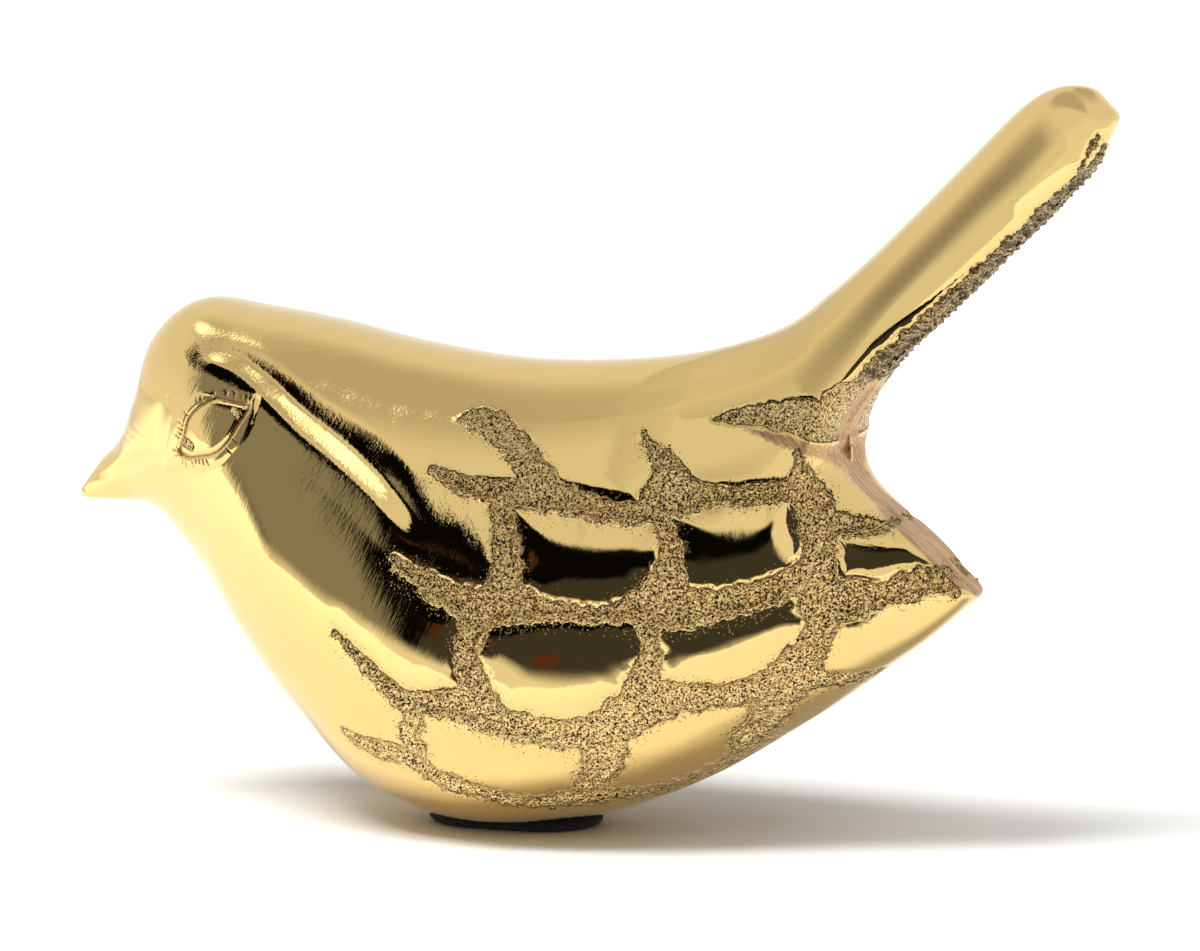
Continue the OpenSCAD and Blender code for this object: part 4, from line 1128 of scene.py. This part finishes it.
def felt_material(colours):
    """Pressed felt: matted fibres with small tufts, near black so that the pad also paints the contact shadow
    under the belly.
    """
    material, n, shader, where = new_material("felt")
    fibres = n.noise(n.place(where, (1, 1, 0.5)), FIBRE_SCALE, 4.0, 0.7)
    height = n.plus(fibres, n.times(n.noise(where, TUFT_SCALE, 2.0), TUFT_SHARE))
    colour = n.mix(n.ramp(height, *FELT_PALE), colours.felt[:], shade(colours.felt, FELT_PALE_SHADE))
    n.feed(shader.inputs["Base Color"], colour)
    n.feed(shader.inputs["Roughness"], n.ramp(fibres, *FELT_ROUGHNESS))
    shader.inputs["Sheen Weight"].default_value = FELT_SHEEN
    n.feed(shader.inputs["Normal"], n.bump(height, FELT_BUMP))
    return material


def adhesive_material(colours):
    """A film of adhesive with slow swirls."""
    material, n, shader, where = new_material("adhesive")
    swirl = n.noise(where, SWIRL_SCALE, 3.0)
    colour = n.mix(swirl, colours.adhesive[:], shade(colours.adhesive, SWIRL_SHADE))
    n.feed(shader.inputs["Base Color"], colour)
    n.feed(shader.inputs["Roughness"], n.ramp(swirl, *ADHESIVE_ROUGHNESS))
    n.feed(shader.inputs["Normal"], n.bump(swirl, SWIRL_BUMP))
    return material


# ---------------------------------------------------------------- operators
class BuildCastHalves(bpy.types.Operator):
    """Builds the two cast halves with their feather relief"""
    bl_idname = "bird.cast_halves"
    bl_label = "Cast halves"

    def execute(self, context):
        sizes, colours = context.scene.bird_sizes, context.scene.bird_colours
        skin = shaped_skin(sizes)
        outside = polished_material(colours)
        inside = plain_cast_material("cast_inside", colours.cast_pale_and_glint[:], colours.cast_dark[:],
                                     INSIDE_ROUGHNESS)
        for side, word in ((-1, "left"), (1, "right")):
            node = "cast_half_" + word
            piece = cast_half("cast_shell_" + word, node, side, skin, (outside, inside))
            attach(piece, "root")
            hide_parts(node)
        return {"FINISHED"}


class BuildFeltPad(bpy.types.Operator):
    """Builds the felt pad under the belly"""
    bl_idname = "bird.felt_pad"
    bl_label = "Felt pad"

    def execute(self, context):
        low, high = (np.array(v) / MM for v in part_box("felt_pad"))
        piece = pad_mesh("belly_pad", high[0] - low[0], high[1] - low[1], high[2] - low[2],
                         (felt_material(context.scene.bird_colours),))
        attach(piece, "root")
        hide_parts("felt_pad")
        return {"FINISHED"}


class FinishHiddenParts(bpy.types.Operator):
    """Gives the braze and the adhesive film their materials"""
    bl_idname = "bird.hidden_parts"
    bl_label = "Braze and adhesive"

    def execute(self, context):
        colours = context.scene.bird_colours
        braze = plain_cast_material("braze", colours.braze[:], shade(colours.braze, BRAZE_PITS),
                                    BRAZE_ROUGHNESS)
        for node, material in (("seam_braze", braze), ("pad_adhesive", adhesive_material(colours))):
            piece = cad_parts[node]
            piece.data.materials.clear()
            piece.data.materials.append(material)
        return {"FINISHED"}


# ---------------------------------------------------------------- stage
AZIMUTH, ELEVATION, DISTANCE = math.radians(22), math.radians(10), 0.8
LENS_PX, FRAME_PX, MIDDLE_PX, SENSOR_MM = 6800.0, (1200.0, 951.0), (508.0, 820.0), 36
# The tent: light on matt pieces, light in reflections, then factors at heights in degrees
TENT_LIGHT, GLOSS_LIGHT = 0.32, 0.88
ZENITH, HORIZON = (52.0, 74.0, 1.0, 0.66), (0.0, 30.0, 1.13, 1.0)
# Lamps: [place, width, watts]
AIM = (0, 0, 0.03)
KEY, FILL = ((-0.22, -0.28, 0.7), 0.32, 7.0), ((0.4, -0.3, 0.7), 0.5, 1.0)
FLOOR_HALF, FLOOR_FRONT = 5.0, -0.16
# Light of the table by distance from the bird, as the camera and as reflections see it
TABLE_SEEN, TABLE_SHINE = (0.03, 0.18, 0.0, 0.8), (0.04, 0.3, 0.06, 0.5)
TABLE_GRAIN, TABLE_MOTTLE, TABLE_SHADE = 900.0, 0.1, 0.95
TABLE_ROUGHNESS, TABLE_SPECULAR = 0.6, 0.2
# Two bright lamps over the head, in mm: a strip of [x, y, half width] and a round one
LAMP_Z, LAMP_LIGHT = 160.0, 2.6
LAMP_LINE = [(-48, 3, 2.5), (-41, -10, 4.5), (-34, -19, 4.5), (-23, -31, 5), (-14, -48, 7), (-5, -66, 9),
             (1, -80, 8)]
LAMP_SPOT, SPOT_POINTS = (-81.0, 7.0, 12.0), 24
# The cards: [angle round the bird in degrees, height in mm] of the black's upper edge,
# of the line where black turns grey, and of the lower edge
CARD_MIDDLE_X, CARD_TURNS, CARD_HEIGHTS = 9.0, (-76, 62), (5.0, 200.0)
CARD_RADIUS = [(-90, 110), (0, 110), (15, 97), (34, 73), (60, 66)]
CARD_TOP = [(-75, 170), (-66, 174), (-54, 168), (-45, 160), (-36, 146), (-29, 126), (-24, 113), (-20, 108),
            (0, 81), (15, 59), (34, 43), (44, 33), (52, 20)]
CARD_MIDDLE = [(-66, 20), (-27, 20), (-22, 30), (-10, 42), (0, 50), (15, 43), (34, 33), (44, 36), (60, 30)]
CARD_LOW = [(-66, 20), (-25, 20), (-10, 22), (0, 16), (15, 10), (34, 7), (60, 7)]
CARD_LEFT, CARD_RIGHT = ((95, 108), (-64, -73)), (56, 60)
CARD_BLACK, CARD_DIM, CARD_OPEN = 0.003, 0.06, 0.985
# How soft their edges are to each side: top, middle, low, left and window
TOP_FADE, MIDDLE_FADE, LOW_FADE, LEFT_FADE, WINDOW_FADE = 1.5, 2, 4, 2, 2
ROOM_EDGE, SPOT_EDGE, FRINGE_EDGE = (1.0, 0.3), (1.0, 0.6), (-4, 0)
# A window in the black: sides in degrees, foot in mm, top as [angle, height], light
WINDOW_SIDES, WINDOW_FOOT, WINDOW_LIGHT = ((-64, -61), (-29, -32)), (14, 20), 0.33
WINDOW_TOP = [(-60, 105), (-42, 105), (-34, 97), (-27, 86)]
# The dim part of the room above the cards: [angle, height, half angle, half height, light]
DIM_ROOM = (24, 96, 20, 44, 0.68)
# Red glow on the cards, seen only in reflections: spots as [angle, height, half angle, half
# height, light], a fringe along the upper edge between two angles, and its colour
RED_GLOW_SPOTS = [(-17.5, 35, 3, 8, 0.11), (-14.5, 66, 3, 5, 0.11), (2, 23, 3.5, 4.5, 0.13)]
FRINGE_SIDES, FRINGE_HEIGHT, FRINGE_LIGHT = ((-30, -36), (-60, -55)), (6, 1), 0.16
RED_GLOW_COLOUR = (1.0, 0.3, 0.12)
# Small cards close to the bird: a line of [x, y, z, strength], the steps from it to both
# edges, and the light from edge to edge
SMALL_CARDS = [
    ([(31, -31, 62, 0.6), (38, -29, 70, 1), (50, -29, 81, 1), (59, -28, 91, 0.8), (68, -25, 101, 0)],
     (-23, 15.5, 15.5), (27, -18, -18), (1, 0.92, 0.78, 0.6, 0.45, 0.4, 0.45, 0.66, 0.9, 1, 1, 1)),
    ([(-30, -10.5, 75, 1), (-26, -11, 75, 1), (-20, -12, 75, 1), (-14, -13.7, 75, 1), (-6, -13.5, 75, 1),
      (4, -13.5, 75, 0.9), (12, -12, 75, 0.5), (19, -10, 75, 0.2)], (0, -5, 0), (0, 5, 0), (0.66, 0.66, 0.66)),
    ([(8, -95, 74, 1), (8, 30, 74, 1)], (0, 0, 0), (0, 0, 91), (0.8, 1, 1, 1, 1)),
    ([(46, -28, 51, 1), (54, -27, 60, 1), (63, -26, 72, 1)], (0, 0, 0), (5, 8, -10), (1, 1)),
    ([(51, -24, 41, 1), (58, -19, 43.5, 1), (66, -13, 46, 1)],
     (0, 0, -8), (0, 0, 6), (0.06, 0.06, 0.06, 0.06, 0.01, 0.01)),
]


def set_camera():
    """The camera of the photograph, aimed at the middle of the frame."""
    back = Vector((math.sin(AZIMUTH) * math.cos(ELEVATION), -math.cos(AZIMUTH) * math.cos(ELEVATION),
                   math.sin(ELEVATION)))
    right = Vector((math.cos(AZIMUTH), math.sin(AZIMUTH), 0))
    up = back.cross(right)
    aim = (-back * LENS_PX + right * (FRAME_PX[0] / 2 - MIDDLE_PX[0])
           + up * (MIDDLE_PX[1] - FRAME_PX[1] / 2))
    data = bpy.data.cameras.new("camera")
    data.sensor_width = SENSOR_MM
    data.lens = data.sensor_width * aim.length / FRAME_PX[0]
    data.clip_start = 0.01
    camera = bpy.data.objects.new("camera", data)
    camera.location = back * DISTANCE - Vector((MM, 0, 0))
    camera.rotation_euler = aim.to_track_quat("-Z", "Y").to_euler()
    bpy.context.collection.objects.link(camera)
    bpy.context.scene.camera = camera


def area_lamp(name, place, width, power):
    """A square lamp aimed at the bird, left out of its reflections."""
    data = bpy.data.lights.new(name, "AREA")
    data.shape = "RECTANGLE"
    data.size = data.size_y = width
    data.energy = power
    lamp = bpy.data.objects.new(name, data)
    lamp.location = place
    lamp.visible_glossy = False
    lamp.rotation_euler = (Vector(AIM) - Vector(place)).to_track_quat("-Z", "Y").to_euler()
    bpy.context.collection.objects.link(lamp)


def set_world():
    """A pale tent: dim on matt pieces, shaded in reflections, white for the camera."""
    world = bpy.data.worlds.new("tent")
    bpy.context.scene.world = world
    world.use_nodes = True
    tree = world.node_tree
    tree.nodes.clear()
    n = Nodes(tree)
    axes = n.new("ShaderNodeSeparateXYZ")
    n.feed(axes.inputs[0], n.new("ShaderNodeTexCoord").outputs["Generated"])
    height = n.times(n.math("ARCSINE", axes.outputs[2]), 180 / math.pi)
    tent = n.times(n.ramp(height, *ZENITH), n.ramp(height, *HORIZON))
    path = n.new("ShaderNodeLightPath")
    sides = []
    for strength in (TENT_LIGHT, n.times(tent, GLOSS_LIGHT), 1.0):
        shader = n.new("ShaderNodeBackground")
        n.feed(shader.inputs["Color"], (1, 1, 1))
        n.feed(shader.inputs["Strength"], strength)
        sides.append(shader.outputs[0])
    for ray, k in (("Is Glossy Ray", 1), ("Is Camera Ray", 2)):
        mix = n.new("ShaderNodeMixShader")
        n.feed(mix.inputs[0], path.outputs[ray])
        tree.links.new(sides[0], mix.inputs[1])
        tree.links.new(sides[k], mix.inputs[2])
        sides[0] = mix.outputs[0]
    tree.links.new(sides[0], n.new("ShaderNodeOutputWorld").inputs[0])


def past(edge, fade, value):
    """A smooth step up across an edge, or down where fade is less than zero."""
    return step(edge - fade, edge + fade, value)


def card_light(turn, height):
    """How bright the cards are at each angle and height, and where they glow red."""
    top, middle, low = (np.interp(turn, *zip(*line)) for line in (CARD_TOP, CARD_MIDDLE, CARD_LOW))
    dim = np.hypot((turn - DIM_ROOM[0]) / DIM_ROOM[2], (height - DIM_ROOM[1]) / DIM_ROOM[3])
    room = 1 - (1 - DIM_ROOM[4]) * step(*ROOM_EDGE, dim)
    light = CARD_BLACK + (CARD_DIM - CARD_BLACK) * past(middle, -MIDDLE_FADE, height)
    window_left, window_right = (step(*edge, turn) for edge in WINDOW_SIDES)
    window = window_left * window_right * step(*WINDOW_FOOT, height)
    window_top = np.interp(turn, *zip(*WINDOW_TOP))
    light += (WINDOW_LIGHT - light) * window * past(window_top, -WINDOW_FADE, height)
    light += (1 - light) * past(low, -LOW_FADE, height)
    light += (room - light) * past(top, TOP_FADE, height)
    fringe_right, fringe_left = (step(*edge, turn) for edge in FRINGE_SIDES)
    fringe = step(*FRINGE_HEIGHT, np.abs(height - top)) * fringe_right * fringe_left
    red_glow = fringe
    for spot_turn, spot_height, half_turn, half_height, glow in RED_GLOW_SPOTS:
        gap = np.hypot((turn - spot_turn) / half_turn, (height - spot_height) / half_height)
        spot = step(*SPOT_EDGE, gap)
        light = np.maximum(light, glow * spot)
        red_glow = np.maximum(red_glow, spot)
    light += (FRINGE_LIGHT - light) * fringe * step(*FRINGE_EDGE, height - top)
    left = np.interp(height, *CARD_LEFT)
    light += (1 - light) * np.maximum(past(left, -LEFT_FADE, turn), step(*CARD_RIGHT, turn))
    return light, red_glow


def round_cards():
    """The cards on a bent wall round the bird: points in mm, triangles, light and red glow."""
    turns, heights = np.arange(*CARD_TURNS), np.arange(*CARD_HEIGHTS)
    turn, height = (g.ravel() for g in np.meshgrid(turns, heights, indexing="ij"))
    light, red_glow = card_light(turn, height)
    angle, radius = np.radians(turn), np.interp(turn, *zip(*CARD_RADIUS))
    points = np.column_stack([np.sin(angle) * radius + CARD_MIDDLE_X, -np.cos(angle) * radius, height])
    faces = grid_faces(len(turns), len(heights)).reshape(2, -1, 3)
    return points, faces[:, light[faces].min((0, 2)) < CARD_OPEN].reshape(-1, 3), light * GLOSS_LIGHT, red_glow


def small_card(line, first, last, lights):
    """A small card along a line: points in mm, triangles and light."""
    line = np.array(line, float)
    share = np.linspace(0, 1, len(lights))[None, :, None]
    grid = line[:, None, :3] + (1 - share) * np.array(first) + share * np.array(last)
    light = 1 - (1 - np.array(lights)[None, :]) * line[:, 3:]
    return grid.reshape(-1, 3), grid_faces(*grid.shape[:2]), GLOSS_LIGHT * light.ravel()


def over_lamps():
    """The strip and the round lamp over the head: points in mm, triangles and light."""
    lamp = np.array(LAMP_LINE)
    along = np.gradient(lamp[:, :2], axis=0)
    side = np.column_stack([-along[:, 1], along[:, 0]]) / np.linalg.norm(along, axis=1, keepdims=True)
    strip = np.concatenate([lamp[:, :2] - side * lamp[:, 2:], lamp[:, :2] + side * lamp[:, 2:]])
    turns = np.arange(SPOT_POINTS) / SPOT_POINTS * 2 * math.pi
    disc = np.column_stack([np.cos(turns), np.sin(turns)]) * LAMP_SPOT[2] + LAMP_SPOT[:2]
    middle = np.array([LAMP_SPOT[:2]])
    k, ring = np.arange(len(lamp) - 1), np.arange(SPOT_POINTS)
    n, c = len(lamp), len(strip)
    faces = [np.column_stack([k, k + 1, k + 1 + n]), np.column_stack([k, k + 1 + n, k + n]),
             np.column_stack([c + ring, c + (ring + 1) % SPOT_POINTS, np.full(SPOT_POINTS, c + SPOT_POINTS)])]
    points = np.concatenate([strip, disc, middle])
    points = np.column_stack([points, np.full(len(points), LAMP_Z)])
    return points, np.concatenate(faces), np.full(len(points), LAMP_LIGHT)


def reflected_cards():
    """The cards and lamps that the bird's polish reflects, as one mesh."""
    points, faces, light, red_glow = round_cards()
    for new_points, new_faces, new_light in [over_lamps()] + [small_card(*card) for card in SMALL_CARDS]:
        faces = np.concatenate([faces, new_faces + len(points)])
        points = np.concatenate([points, new_points])
        light = np.concatenate([light, new_light])
    red_glow = np.concatenate([red_glow, np.zeros(len(light) - len(red_glow))])
    material, n, shader, _ = new_material("cards")
    n.feed(shader.inputs["Base Color"], (0, 0, 0))
    shader.inputs["Specular IOR Level"].default_value = 0.0
    # The cards glow red at these spots; the bird shows this light only in its reflections
    n.feed(shader.inputs["Emission Color"], n.mix(n.attribute("red_glow"), (1, 1, 1), RED_GLOW_COLOUR))
    n.feed(shader.inputs["Emission Strength"], n.attribute("light"))
    cards = mesh_object("cards", points * MM, faces, (material,), {"light": light, "red_glow": red_glow})
    for kind in ("camera", "diffuse", "shadow", "transmission", "volume_scatter"):
        setattr(cards, "visible_" + kind, False)
    return cards


def floor_material(colours):
    """A pale table that brightens away from the bird."""
    material, n, shader, where = new_material("table")
    grain = n.noise(where, TABLE_GRAIN, 2.0)
    pale = n.mix(n.times(grain, TABLE_MOTTLE), colours.floor[:], shade(colours.floor, TABLE_SHADE))
    n.feed(shader.inputs["Base Color"], pale)
    shader.inputs["Roughness"].default_value = TABLE_ROUGHNESS
    shader.inputs["Specular IOR Level"].default_value = TABLE_SPECULAR
    path = n.new("ShaderNodeLightPath")
    away = n.new("ShaderNodeVectorMath", operation="LENGTH")
    n.feed(away.inputs[0], where)
    seen, shine = (n.times(path.outputs[ray], n.ramp(away.outputs["Value"], *glow, "LINEAR"))
                   for ray, glow in (("Is Camera Ray", TABLE_SEEN), ("Is Glossy Ray", TABLE_SHINE)))
    n.feed(shader.inputs["Emission Color"], (1, 1, 1))
    n.feed(shader.inputs["Emission Strength"], n.plus(seen, shine))
    return material


class BuildStage(bpy.types.Operator):
    """Sets the table, the light tent, the lamps and the camera"""
    bl_idname = "bird.stage"
    bl_label = "Stage"

    def execute(self, context):
        scene = context.scene
        scene.view_settings.view_transform = "Standard"
        corners = [(-1, FLOOR_FRONT), (1, FLOOR_FRONT), (1, FLOOR_HALF), (-1, FLOOR_HALF)]
        points = np.array([(x * FLOOR_HALF, y, 0) for x, y in corners])
        floor = mesh_object("table", points, np.array([(0, 1, 2, 3)]), (floor_material(scene.bird_colours),))
        reflected_cards()
        for name, lamp in (("key", KEY), ("fill", FILL)):
            area_lamp(name, *lamp)
        set_world()
        set_camera()
        return {"FINISHED"}


class BirdPanel(bpy.types.Panel):
    """Shows the sizes, colours and build buttons of the bird in the sidebar"""
    bl_idname = "VIEW3D_PT_bird"
    bl_label = "Cast bird figurine"
    bl_space_type = "VIEW_3D"
    bl_region_type = "UI"
    bl_category = "Bird"

    def draw(self, context):
        for group in (context.scene.bird_sizes, context.scene.bird_colours):
            for key in group.__annotations__:
                self.layout.prop(group, key)
        for operator in OPERATORS:
            self.layout.operator(operator.bl_idname)


OPERATORS = (BuildCastHalves, BuildFeltPad, FinishHiddenParts, BuildStage)
CLASSES = (BirdSizes, BirdColours) + OPERATORS + (BirdPanel,)


def register():
    for cls in CLASSES:
        bpy.utils.register_class(cls)
    bpy.types.Scene.bird_sizes = PointerProperty(type=BirdSizes)
    bpy.types.Scene.bird_colours = PointerProperty(type=BirdColours)


def unregister():
    del bpy.types.Scene.bird_colours
    del bpy.types.Scene.bird_sizes
    for cls in reversed(CLASSES):
        bpy.utils.unregister_class(cls)


def main():
    register()
    bpy.ops.bird.cast_halves()
    bpy.ops.bird.felt_pad()
    bpy.ops.bird.hidden_parts()
    bpy.ops.bird.stage()


if __name__ == "__main__":
    main()
